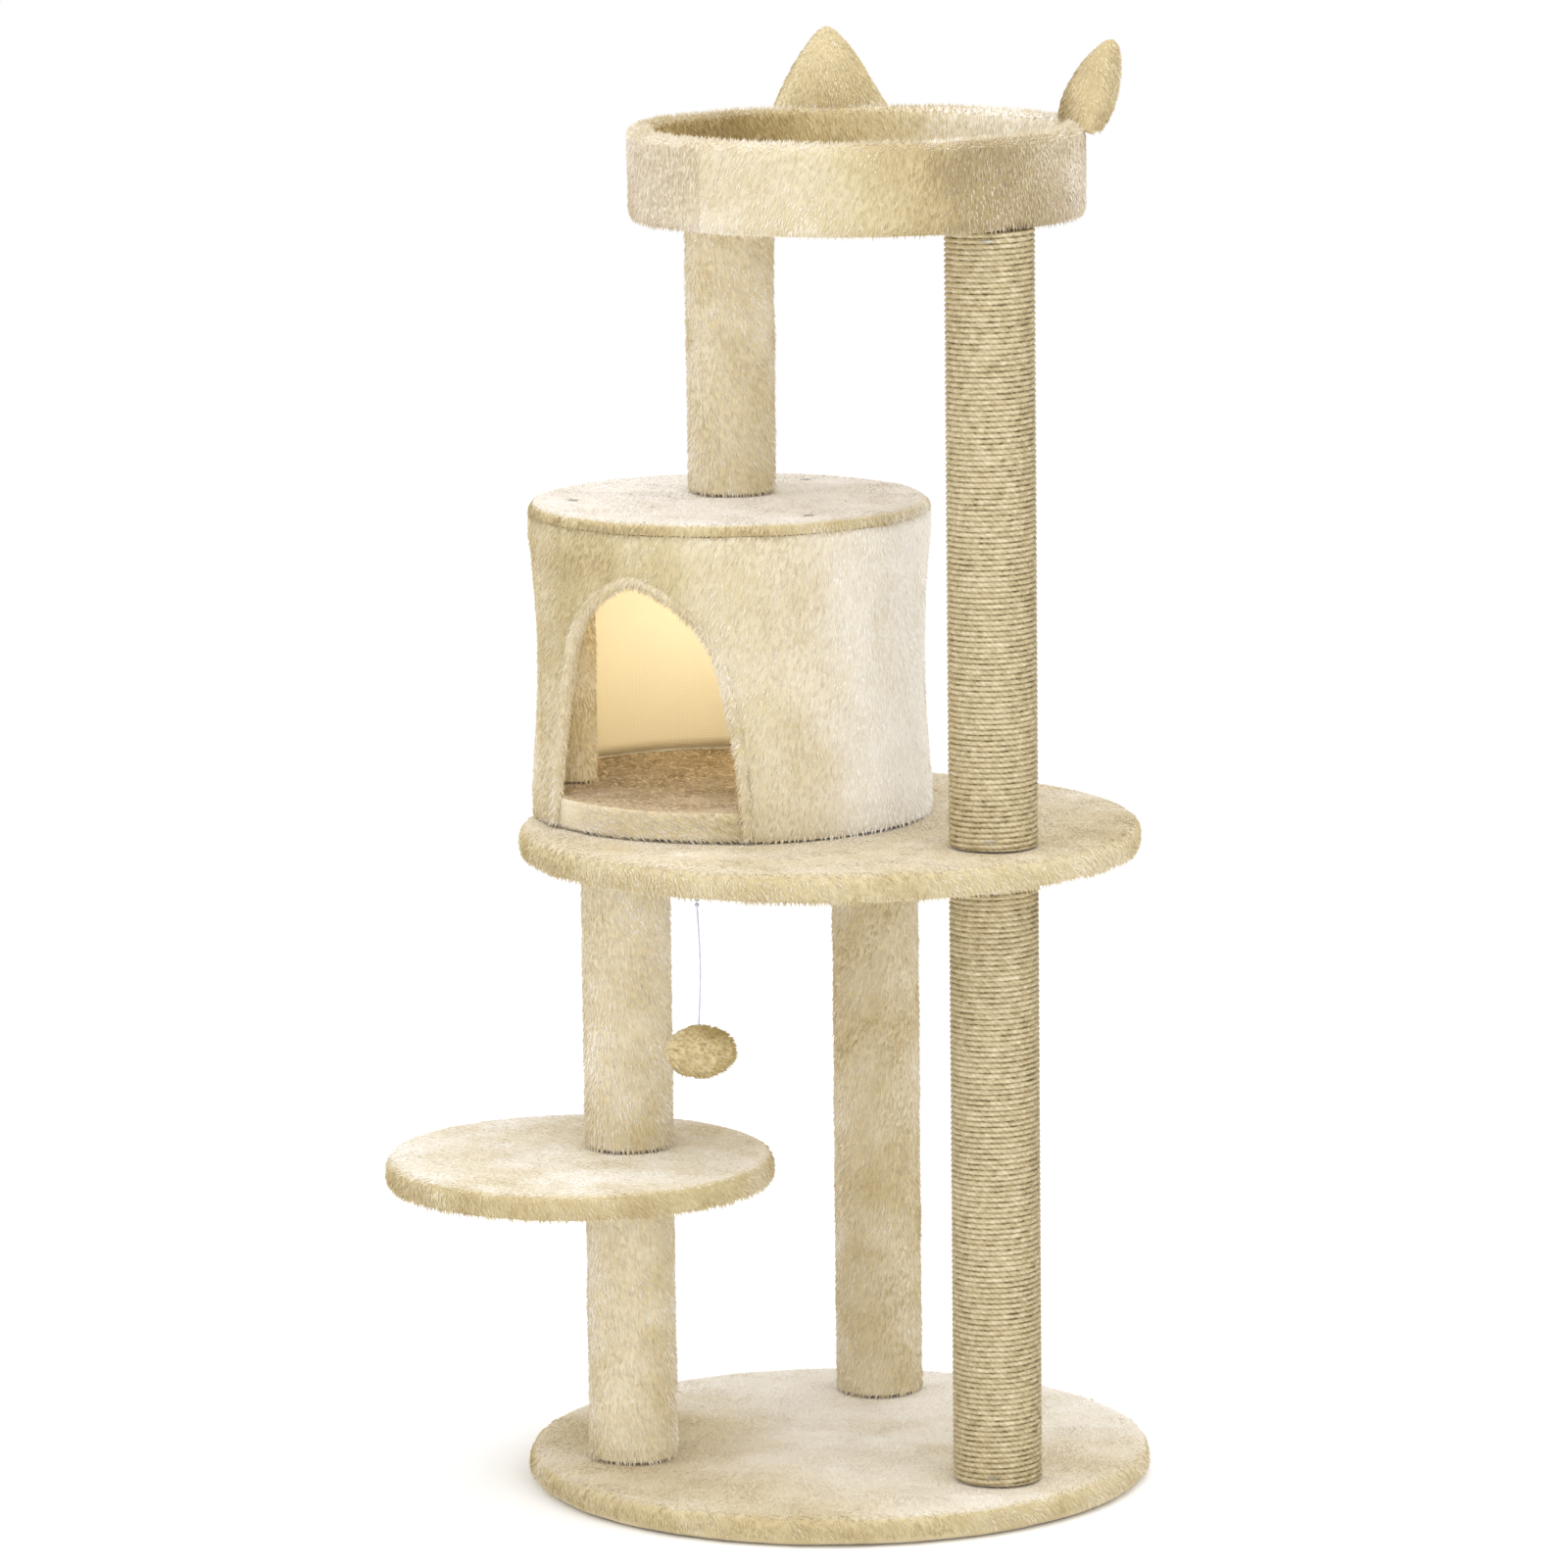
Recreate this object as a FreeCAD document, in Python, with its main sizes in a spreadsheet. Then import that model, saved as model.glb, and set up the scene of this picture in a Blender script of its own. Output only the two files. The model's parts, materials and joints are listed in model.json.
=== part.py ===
import FreeCAD, Part
import math
import os

import Sketcher

V = FreeCAD.Vector

# A free-standing cat tree, in millimetres. The origin is the middle of the round base's
# underside, +Z is up and the condo's doorway faces -Y.

doc = FreeCAD.newDocument("CatTree")
sheet = doc.addObject("Spreadsheet::Sheet", "Sizes")

DRIVING = {
    # sheet goods and cloth
    "board_thick": 15,
    "plush_thick": 5,
    "scrim_thick": 1.3,
    # round boards, measured over their plush
    "base_radius": 245,
    "deck_radius": 243,
    "deck_x": -2,
    "deck_y": -2,
    "perch_radius": 152,
    "perch_x": -142.5,
    "perch_y": -155,
    "wide_fold": 40,
    "narrow_fold": 25,
    "slim_fold": 12,
    # posts
    "post_length": 223.5,
    "tube_radius": 30,
    "tube_wall": 4,
    "sleeve_thick": 5.5,
    "rope_thick": 4.2,
    "left_x": -119.4,
    "left_y": -118,
    "back_x": -50.8,
    "back_y": 158.9,
    "scratch_x": 168,
    "scratch_y": -51,
    "upper_x": -103.8,
    "upper_y": 28.7,
    # post fastenings
    "plug_thick": 12,
    "insert_radius": 5,
    "bolt_radius": 4,
    "bolt_length": 35,
    "bolt_clear": 4.5,
    "bolt_head_radius": 7.5,
    "bolt_head_thick": 3,
    "washer_radius": 10,
    "washer_thick": 1.5,
    "washer_clear": 10.5,
    "stud_past_plug": 1,
    # wood screws
    "screw_radius": 2,
    "screw_head_radius": 4,
    "screw_head_thick": 2.5,
    "screw_clear": 4.5,
    "support_screw_length": 50,
    "condo_screw_length": 40,
    "condo_screw_circle": 80,
    # condo
    "condo_x": -91.2,
    "condo_y": 1.8,
    "shell_radius": 157.5,
    "shell_plush": 4,
    "shell_waist": 5,
    "roof_skirt": 12,
    "fit_gap": 0.2,
    "support_circle": 122,
    "dowel_radius": 12,
    "door_half": 90,
    "door_shoulder": 64.5,
    "door_shoulder_rise": 146,
    "door_rise": 198,
    "door_leg_bulge": 5.2,
    "door_top_bulge": 9.5,
    "hem_width": 7,
    "hem_proud": 0.8,
    "cut_depth": 200,
    # bed
    "bed_radius": 176.5,
    "bed_rise": 72.5,
    "rim_core": 10,
    # ears
    "ear_half": 43.5,
    "ear_rise": 70,
    "ear_thick": 26,
    "ear_round": 8,
    "ear_tip_round": 11,
    "ear_lean": 12,
    "ear_sunk": 4,
    "left_ear_turn": 125.5,
    "right_ear_turn": 37,
    # hanging toy
    "toy_x": -9,
    "toy_y": -199,
    "string_radius": 0.65,
    "loop_radius": 3,
    "bar_drop": 4.7,
    "bar_thick": 0.8,
    "bar_width": 1.2,
    "bar_length": 9,
    "knot_radius": 1.8,
    "toy_gap": 0.5,
    "ball_long": 26.5,
    "ball_deep": 21,
    "ball_tall": 19,
    "ball_drop": 125,
    "ball_turn": 29,
    # staples at the rope's ends
    "staple_thick": 0.8,
    "staple_width": 1.2,
    "staple_inset": 7,
    "staple_turn": 17,
    "staple_from": 285,
}

# Worked out from the sizes above, in this order.
WORKED_OUT = {
    "padded_thick": "board_thick + 2 * plush_thick",
    "long_post": "2 * post_length + padded_thick",
    "post_radius": "tube_radius + sleeve_thick",
    "rope_radius": "tube_radius + rope_thick",
    "tube_bore": "tube_radius - tube_wall",
    "perch_low": "padded_thick + post_length",
    "perch_top": "perch_low + padded_thick",
    "deck_low": "perch_top + post_length",
    "deck_top": "deck_low + padded_thick",
    "floor_top": "deck_top + padded_thick",
    "roof_top": "deck_top + post_length + padded_thick",
    "ceiling_low": "roof_top - padded_thick",
    "roof_board_low": "ceiling_low + plush_thick",
    "roof_board_top": "roof_board_low + board_thick",
    "bed_low": "roof_top + post_length",
    "bed_board_low": "bed_low + plush_thick",
    "bed_board_top": "bed_board_low + board_thick",
    "bed_floor": "bed_board_top + plush_thick",
    "rim_top": "bed_low + bed_rise",
    "bed_x": "(upper_x + scratch_x) / 2",
    "bed_y": "(upper_y + scratch_y) / 2",
    "bed_board_radius": "bed_radius - plush_thick",
    "rim_inner": "bed_board_radius - rim_core",
    "bowl_radius": "rim_inner - plush_thick",
    "shell_bore": "shell_radius - shell_plush",
    "lining_bore": "shell_bore - scrim_thick",
    "floor_radius": "lining_bore - fit_gap",
    "shell_rise": "roof_top - roof_skirt - deck_top",
    "slack_rise": "post_length - padded_thick",
    "shell_bow": "slack_rise ^ 2 / (8 * shell_waist) + shell_waist / 2",
    "skirt_rise": "roof_skirt - plush_thick",
    "support_length": "ceiling_low - floor_top",
    "support_radius": "dowel_radius + plush_thick",
    "support_step_x": "support_circle * cos(30 deg)",
    "support_step_y": "support_circle / 2",
    "screw_step_x": "condo_screw_circle * cos(30 deg)",
    "screw_step_y": "condo_screw_circle / 2",
    "leg_bow": "((door_half - door_shoulder) ^ 2 + door_shoulder_rise ^ 2)"
               " / (8 * door_leg_bulge) + door_leg_bulge / 2",
    "top_bow": "(door_shoulder ^ 2 + (door_rise - door_shoulder_rise) ^ 2)"
               " / (8 * door_top_bulge) + door_top_bulge / 2",
    "hem_half": "door_half - hem_width",
    "hem_shoulder": "door_shoulder - hem_width",
    "hem_shoulder_rise": "door_shoulder_rise - hem_width / 2",
    "hem_rise": "door_rise - hem_width * 1.3",
    "hem_leg_bow": "((hem_half - hem_shoulder) ^ 2 + hem_shoulder_rise ^ 2)"
                   " / (8 * door_leg_bulge) + door_leg_bulge / 2",
    "hem_top_bow": "(hem_shoulder ^ 2 + (hem_rise - hem_shoulder_rise) ^ 2)"
                   " / (8 * door_top_bulge) + door_top_bulge / 2",
    "hem_outside": "shell_radius + hem_proud",
    "bar_top": "deck_low - bar_drop + bar_thick",
    "bar_low": "deck_low - bar_drop",
    "bar_half": "bar_length / 2",
    "bar_half_width": "bar_width / 2",
    "loop_middle": "bar_top + toy_gap + string_radius - loop_radius",
    "loop_low": "loop_middle - loop_radius",
    "knot_middle": "loop_low - string_radius - toy_gap - knot_radius",
    "ball_middle": "deck_low - ball_drop",
}

cells = []
for row, (name, number) in enumerate({**DRIVING, **WORKED_OUT}.items(), start=1):
    sheet.set(f"A{row}", name)
    sheet.set(f"B{row}", f"={number}" if name in WORKED_OUT else str(number))
    sheet.setAlias(f"B{row}", name)
    cells.append(name)
doc.recompute()


def value(formula):
    """The number that a formula of cell names and numbers joined by + and - comes to."""
    total, sign = 0.0, 1.0
    for word in formula.split():
        if word in "+-":
            sign = -1.0 if word == "-" else 1.0
        else:
            total += sign * float(getattr(sheet, word) if word in cells else word)
    return total


def bind(thing, path, formula):
    """Ties one property of an object to such a formula."""
    words = [f"Sizes.{word}" if word in cells else word for word in formula.split()]
    thing.setExpression(path, " ".join(words))


def place(thing, at):
    for axis, formula in zip("xyz", at):
        bind(thing, f"Placement.Base.{axis}", formula)


pieces = []


def keep(piece, label):
    """Makes an object one of the exported sub-parts."""
    piece.Label = label
    pieces.append(piece)
    return piece


# Sketches

def new_sketch(body, role):
    sketch = body.newObject("Sketcher::SketchObject", "Sketch")
    plane = next(f for f in body.Origin.OriginFeatures if f.Role == role)
    sketch.AttachmentSupport = (plane, [""])
    sketch.MapMode = "FlatFace"
    return sketch


def tie(sketch, kind, *where, formula):
    """Adds one dimension whose number follows the sheet."""
    index = sketch.addConstraint(Sketcher.Constraint(kind, *where, value(formula)))
    bind(sketch, f"Constraints[{index}]", formula)


def tie_point(sketch, curve, end, x, y):
    """Puts one point of a curve at x, y, measured from the sketch's origin."""
    for kind, formula, axis in (("DistanceX", x, -2), ("DistanceY", y, -1)):
        if abs(value(formula)) < 1e-9:
            sketch.addConstraint(Sketcher.Constraint("PointOnObject", curve, end, axis))
        else:
            tie(sketch, kind, -1, 1, curve, end, formula=formula)


def circle(sketch, radius, x="0", y="0"):
    middle = V(value(x), value(y), 0)
    curve = sketch.addGeometry(Part.Circle(middle, V(0, 0, 1), value(radius)), False)
    tie(sketch, "Radius", curve, formula=radius)
    tie_point(sketch, curve, 3, x, y)


def outline(sketch, corners, bows=None):
    """A closed outline, anticlockwise. bows maps a side to its bulge, outwards, and radius."""
    bows = bows or {}
    points = [V(value(x), value(y), 0) for x, y in corners]
    curves = []
    for side, start in enumerate(points):
        end = points[(side + 1) % len(points)]
        if side in bows:
            along = (end - start).normalize()
            middle = (start + end) / 2 + V(along.y, -along.x, 0) * value(bows[side][0])
            geometry = Part.Arc(start, middle, end)
        else:
            geometry = Part.LineSegment(start, end)
        curves.append(sketch.addGeometry(geometry, False))

    def end_near(curve, point):
        return min((1, 2), key=lambda e: sketch.getPoint(curve, e).distanceToPoint(point))

    for side, point in enumerate(points):
        before, after = curves[side - 1], curves[side]
        leaving = end_near(after, point)
        sketch.addConstraint(
            Sketcher.Constraint("Coincident", before, end_near(before, point), after, leaving)
        )
        tie_point(sketch, after, leaving, *corners[side])
        if side in bows:
            tie(sketch, "Radius", after, formula=bows[side][1])


# PartDesign bodies

def new_body(label, at):
    body = doc.addObject("PartDesign::Body", label)
    place(body, at)
    return keep(body, label)


def pad(body, sketch, height):
    feature = body.newObject("PartDesign::Pad", "Pad")
    feature.Profile = sketch
    bind(feature, "Length", height)
    body.Tip = feature


def revolve(body, corners, bows=None):
    sketch = new_sketch(body, "XZ_Plane")
    outline(sketch, corners, bows)
    feature = body.newObject("PartDesign::Revolution", "Revolution")
    feature.Profile = sketch
    feature.ReferenceAxis = (sketch, ["V_Axis"])
    feature.Angle = 360
    body.Tip = feature


def drill(body, holes):
    """Round holes right through, each given as radius, x and y from the body's middle."""
    if not holes:
        return
    sketch = new_sketch(body, "XY_Plane")
    for radius, x, y in holes:
        circle(sketch, radius, x, y)
    feature = body.newObject("PartDesign::Pocket", "Holes")
    feature.Profile = sketch
    feature.Type = "ThroughAll"
    feature.Reversed = True
    body.Tip = feature


def disc(label, radius, height, at, holes=()):
    body = new_body(label, at)
    sketch = new_sketch(body, "XY_Plane")
    circle(sketch, radius)
    pad(body, sketch, height)
    drill(body, holes)
    return body


def ring(label, outside, inside, height, at):
    body = new_body(label, at)
    sketch = new_sketch(body, "XY_Plane")
    circle(sketch, outside)
    circle(sketch, inside)
    pad(body, sketch, height)
    return body


def wrap(label, radius, fold, at, holes):
    """Plush over a round board's top and edge, folded under it by the width of the fold."""
    body = new_body(label, at)
    inside = f"{radius} - plush_thick"
    hem = f"{inside} - {fold}"
    revolve(body, [
        (hem, "0"),
        (radius, "0"),
        (radius, "padded_thick"),
        ("0", "padded_thick"),
        ("0", "padded_thick - plush_thick"),
        (inside, "padded_thick - plush_thick"),
        (inside, "plush_thick"),
        (hem, "plush_thick"),
    ])
    drill(body, holes)
    return body


# Part primitives, for the small pieces that come in groups

def cylinder(radius, height, at):
    shape = doc.addObject("Part::Cylinder", "Cylinder")
    bind(shape, "Radius", radius)
    bind(shape, "Height", height)
    place(shape, at)
    return shape


def box(sizes, at):
    shape = doc.addObject("Part::Box", "Box")
    for side, formula in zip(("Length", "Width", "Height"), sizes):
        bind(shape, side, formula)
    place(shape, at)
    return shape


def cut(base, tool, name="Cut"):
    shape = doc.addObject("Part::Cut", name)
    shape.Base = base
    shape.Tool = tool
    return shape


def fuse(*shapes):
    shape = doc.addObject("Part::MultiFuse", "Fuse")
    shape.Shapes = list(shapes)
    return shape


def group(label, members):
    shape = doc.addObject("Part::Compound", label)
    shape.Links = members
    return keep(shape, label)


def washer(outside, inside, height, at):
    return cut(cylinder(outside, height, at), cylinder(inside, height, at))


LEFT = ("left_x", "left_y")
BACK = ("back_x", "back_y")
SCRATCH = ("scratch_x", "scratch_y")
UPPER = ("upper_x", "upper_y")


def seen_from(spot, x, y):
    """A spot's place measured from another middle."""
    return f"{spot[0]} - {x}", f"{spot[1]} - {y}"


# Round boards in their plush

def padded_board(name, radius, middle, low, fold, through, above, below):
    """A board, its wrap and the cloth that closes its underside. through, above and below
    are the spots of holes that only pass a shank, or that take a head on that side."""
    x, y = middle
    board_radius = f"{radius} - plush_thick"
    shanks = [(clear, *seen_from(spot, x, y)) for spot, clear, _ in through + above + below]
    tops = [(wide, *seen_from(spot, x, y)) for spot, _, wide in above]
    tops += [(clear, *seen_from(spot, x, y)) for spot, clear, _ in through + below]
    lows = [(wide, *seen_from(spot, x, y)) for spot, _, wide in below]
    lows += [(clear, *seen_from(spot, x, y)) for spot, clear, _ in through + above]
    disc(f"{name}_board", board_radius, "board_thick", (x, y, f"{low} + plush_thick"), shanks)
    wrap(f"{name}_plush_cover", radius, fold, (x, y, low), tops)
    disc(f"{name}_underside_cloth", f"{board_radius} - {fold}", "plush_thick", (x, y, low), lows)


def bolt_hole(spot):
    return spot, "bolt_clear", "washer_clear"


def screw_hole(spot):
    return spot, "screw_radius", "screw_clear"


CONDO = ("condo_x", "condo_y")
SUPPORTS = {
    "back": ("condo_x", "condo_y + support_circle"),
    "left": ("condo_x - support_step_x", "condo_y - support_step_y"),
    "right": ("condo_x + support_step_x", "condo_y - support_step_y"),
}
CONDO_SCREWS = (
    ("condo_x", "condo_y - condo_screw_circle"),
    ("condo_x - screw_step_x", "condo_y + screw_step_y"),
    ("condo_x + screw_step_x", "condo_y + screw_step_y"),
)
fixings = [screw_hole(spot) for spot in CONDO_SCREWS]
support_holes = [screw_hole(spot) for spot in SUPPORTS.values()]

padded_board("base", "base_radius", ("0", "0"), "0", "wide_fold",
             through=[], above=[], below=[bolt_hole(s) for s in (LEFT, BACK, SCRATCH)])
padded_board("perch", "perch_radius", ("perch_x", "perch_y"), "perch_low", "narrow_fold",
             through=[bolt_hole(LEFT)], above=[], below=[])
padded_board("main_platform", "deck_radius", ("deck_x", "deck_y"), "deck_low", "wide_fold",
             through=[bolt_hole(SCRATCH)], above=[bolt_hole(s) for s in (LEFT, BACK)],
             below=fixings)
padded_board("condo_floor", "floor_radius", CONDO, "deck_top", "slim_fold",
             through=fixings, above=[], below=support_holes)


# Posts: a paper tube in a plush sleeve or wound with rope, a plug and an insert in each end

POSTS = {
    "left_lower_post": (LEFT, "padded_thick", "post_length", "sleeve"),
    "left_upper_post": (LEFT, "perch_top", "post_length", "sleeve"),
    "back_post": (BACK, "padded_thick", "long_post", "sleeve"),
    "lower_scratching_post": (SCRATCH, "padded_thick", "long_post", "rope"),
    "upper_scratching_post": (SCRATCH, "deck_top", "long_post", "rope"),
    "bed_post": (UPPER, "roof_top", "post_length", "sleeve"),
}
plugs, inserts, rope_staples = [], [], []
for name, (spot, low, length, outside) in POSTS.items():
    at = (*spot, low)
    ring(f"{name}_tube", "tube_radius", "tube_bore", length, at)
    if outside == "sleeve":
        ring(f"{name}_plush_sleeve", "post_radius", "tube_radius", length, at)
    else:
        ring(f"{name}_sisal_winding", "rope_radius", "tube_radius", length, at)
    for plug_low in (low, f"{low} + {length} - plug_thick"):
        end = (*spot, plug_low)
        plugs.append(washer("tube_bore", "insert_radius", "plug_thick", end))
        inserts.append(washer("insert_radius", "bolt_radius", "plug_thick", end))
    if outside == "rope":
        for staple_low in (f"{low} + staple_inset", f"{low} + {length} - staple_inset"):
            band = washer("rope_radius + staple_thick", "rope_radius", "staple_width",
                          (*spot, staple_low))
            bind(band.Base, "Angle", "staple_turn")
            band.Base.Placement.Rotation = FreeCAD.Rotation(V(0, 0, 1), value("staple_from"))
            rope_staples.append(band)
group("post_end_plugs", plugs)
group("threaded_inserts", inserts)
group("rope_end_staples", rope_staples)


# Bolts and studs that hold the posts

bolts, bolt_washers = [], []


def post_bolt(spot, seat, up):
    """A bolt whose washer bears on the board's face at the height seat."""
    x, y = spot
    if up:
        washer_low = f"{seat} - washer_thick"
        head_low = f"{washer_low} - bolt_head_thick"
        shank_low = washer_low
    else:
        washer_low = seat
        head_low = f"{seat} + washer_thick"
        shank_low = f"{head_low} - bolt_length"
    bolts.append(fuse(
        cylinder("bolt_head_radius", "bolt_head_thick", (x, y, head_low)),
        cylinder("bolt_radius", "bolt_length", (x, y, shank_low)),
    ))
    bolt_washers.append(washer("washer_radius", "bolt_radius", "washer_thick",
                               (x, y, washer_low)))


for spot in (LEFT, BACK, SCRATCH):
    post_bolt(spot, "plush_thick", up=True)
for spot in (LEFT, BACK):
    post_bolt(spot, "deck_top - plush_thick", up=False)
post_bolt(UPPER, "roof_board_low", up=True)
for spot in (UPPER, SCRATCH):
    post_bolt(spot, "bed_board_top", up=False)
group("post_bolts", bolts)
group("bolt_washers", bolt_washers)
group("joining_studs", [
    cylinder("bolt_radius",
             "padded_thick + plug_thick + plug_thick + stud_past_plug + stud_past_plug",
             (*spot, f"{low} - plug_thick - stud_past_plug"))
    for spot, low in ((LEFT, "perch_low"), (SCRATCH, "deck_low"))
])


# Condo: floor and roof boards, three padded supports and a cloth wall with a doorway

disc("condo_roof_board", "floor_radius", "board_thick", (*CONDO, "roof_board_low"),
     [("bolt_clear", *seen_from(UPPER, *CONDO))]
     + [("screw_radius", *seen_from(spot, *CONDO)) for spot in SUPPORTS.values()])
roof_cover = new_body("condo_roof_plush_cover", (*CONDO, "roof_top - roof_skirt"))
revolve(roof_cover, [
    ("floor_radius", "0"),
    ("shell_radius", "0"),
    ("shell_radius", "roof_skirt"),
    ("0", "roof_skirt"),
    ("0", "skirt_rise"),
    ("floor_radius", "skirt_rise"),
])
drill(roof_cover,
      [("bolt_clear", *seen_from(UPPER, *CONDO))]
      + [("screw_clear", *seen_from(spot, *CONDO)) for spot in SUPPORTS.values()])
disc("condo_ceiling_cloth", "floor_radius", "plush_thick", (*CONDO, "ceiling_low"),
     [("washer_clear", *seen_from(UPPER, *CONDO))]
     + [("screw_radius", *seen_from(spot, *CONDO)) for spot in SUPPORTS.values()])

support_screws = []
for side, spot in SUPPORTS.items():
    support = (*spot, "floor_top")
    dowel = disc(f"{side}_support_dowel", "dowel_radius", "support_length", support)
    ring(f"{side}_support_plush_sleeve", "support_radius", "dowel_radius",
         "support_length", support)
    top_screw = fuse(
        cylinder("screw_head_radius", "screw_head_thick", (*spot, "roof_board_top")),
        cylinder("screw_radius", "support_screw_length",
                 (*spot, "roof_board_top - support_screw_length")),
    )
    low_screw = fuse(
        cylinder("screw_head_radius", "screw_head_thick",
                 (*spot, "deck_top + plush_thick - screw_head_thick")),
        cylinder("screw_radius", "support_screw_length", (*spot, "deck_top + plush_thick")),
    )
    support_screws += [top_screw, low_screw]
    # pilot holes in both ends of the dowel
    pilots = fuse(
        cylinder("screw_radius", "support_screw_length",
                 (*spot, "roof_board_top - support_screw_length")),
        cylinder("screw_radius", "support_screw_length", (*spot, "deck_top + plush_thick")),
    )
    pieces.remove(dowel)
    dowel.Label = f"{side}_dowel_blank"
    keep(cut(dowel, pilots, f"{side}_drilled_dowel"), f"{side}_support_dowel")
group("support_screws", support_screws)
group("condo_fixing_screws", [
    fuse(
        cylinder("screw_head_radius", "screw_head_thick",
                 (*spot, "deck_low + plush_thick - screw_head_thick")),
        cylinder("screw_radius", "condo_screw_length", (*spot, "deck_low + plush_thick")),
    )
    for spot in CONDO_SCREWS
])

DOOR_BOWS = ("leg_bow", "top_bow")
HEM_BOWS = ("hem_leg_bow", "hem_top_bow")


def arch(sketch, half, shoulder, shoulder_rise, rise, radii):
    """A doorway with bowed legs and a slightly pointed top, standing on the sketch's X axis."""
    leg = ("door_leg_bulge", radii[0])
    top = ("door_top_bulge", radii[1])
    outline(sketch, [
        (f"0 - {half}", "0"),
        (half, "0"),
        (shoulder, shoulder_rise),
        ("0", rise),
        (f"0 - {shoulder}", shoulder_rise),
    ], {1: leg, 2: top, 3: top, 4: leg})


def cloth_wall(label, outside, inside):
    """One layer of the condo's wall: a tube drawn in at the waist between the two boards."""
    body = new_body(label, (*CONDO, "deck_top"))
    revolve(body, [
        (inside, "0"),
        (outside, "0"),
        (outside, "padded_thick"),
        (outside, "post_length"),
        (outside, "shell_rise"),
        (inside, "shell_rise"),
        (inside, "post_length"),
        (inside, "padded_thick"),
    ], {2: ("0 - shell_waist", "shell_bow"), 6: ("shell_waist", "shell_bow")})
    return body


def door_cut(body):
    sketch = new_sketch(body, "XZ_Plane")
    arch(sketch, "door_half", "door_shoulder", "door_shoulder_rise", "door_rise", DOOR_BOWS)
    feature = body.newObject("PartDesign::Pocket", "Doorway")
    feature.Profile = sketch
    feature.Type = "Length"
    bind(feature, "Length", "cut_depth")
    feature.Reversed = True
    body.Tip = feature


for label, outside, inside in (
    ("condo_plush_wall", "shell_radius", "shell_bore"),
    ("condo_scrim_lining", "shell_bore", "lining_bore"),
):
    door_cut(cloth_wall(label, outside, inside))

hem_band = cloth_wall("hem_band", "hem_outside", "lining_bore")
pieces.remove(hem_band)


def arch_block(*sizes):
    """The arch drawn out towards -Y from the condo's middle."""
    sketch = doc.addObject("Sketcher::SketchObject", "Arch")
    arch(sketch, *sizes)
    block = doc.addObject("Part::Extrusion", "ArchBlock")
    block.Base = sketch
    block.DirMode = "Normal"
    block.Solid = True
    bind(block, "LengthFwd", "cut_depth")
    sketch.Placement.Rotation = FreeCAD.Rotation(V(1, 0, 0), 90)
    place(sketch, (*CONDO, "deck_top"))
    return block


arch_ring = cut(
    arch_block("door_half", "door_shoulder", "door_shoulder_rise", "door_rise", DOOR_BOWS),
    arch_block("hem_half", "hem_shoulder", "hem_shoulder_rise", "hem_rise", HEM_BOWS),
)
doorway_hem = doc.addObject("Part::Common", "doorway_hem")
doorway_hem.Base = hem_band
doorway_hem.Tool = arch_ring
keep(doorway_hem, "doorway_hem")


# Bed: a round board with a padded rim

BED = ("bed_x", "bed_y")
bed_posts = [("bolt_clear", *seen_from(spot, *BED)) for spot in (UPPER, SCRATCH)]
bed_heads = [("washer_clear", *seen_from(spot, *BED)) for spot in (UPPER, SCRATCH)]
disc("bed_underside_plush", "bed_board_radius", "plush_thick", (*BED, "bed_low"), bed_posts)
disc("bed_board", "bed_board_radius", "board_thick", (*BED, "bed_board_low"), bed_posts)
disc("bed_floor_plush", "rim_inner", "plush_thick", (*BED, "bed_board_top"), bed_heads)
ring("bed_rim_foam", "bed_board_radius", "rim_inner",
     "rim_top - plush_thick - bed_board_top", (*BED, "bed_board_top"))
rim_cover = new_body("bed_rim_plush_cover", (*BED, "bed_low"))
revolve(rim_cover, [
    ("bed_board_radius", "0"),
    ("bed_radius", "0"),
    ("bed_radius", "bed_rise"),
    ("bowl_radius", "bed_rise"),
    ("bowl_radius", "bed_floor - bed_low"),
    ("rim_inner", "bed_floor - bed_low"),
    ("rim_inner", "bed_rise - plush_thick"),
    ("bed_board_radius", "bed_rise - plush_thick"),
])


# Ears: stuffed triangles sewn to the rim, each facing the bed's middle and leaning out

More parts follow.
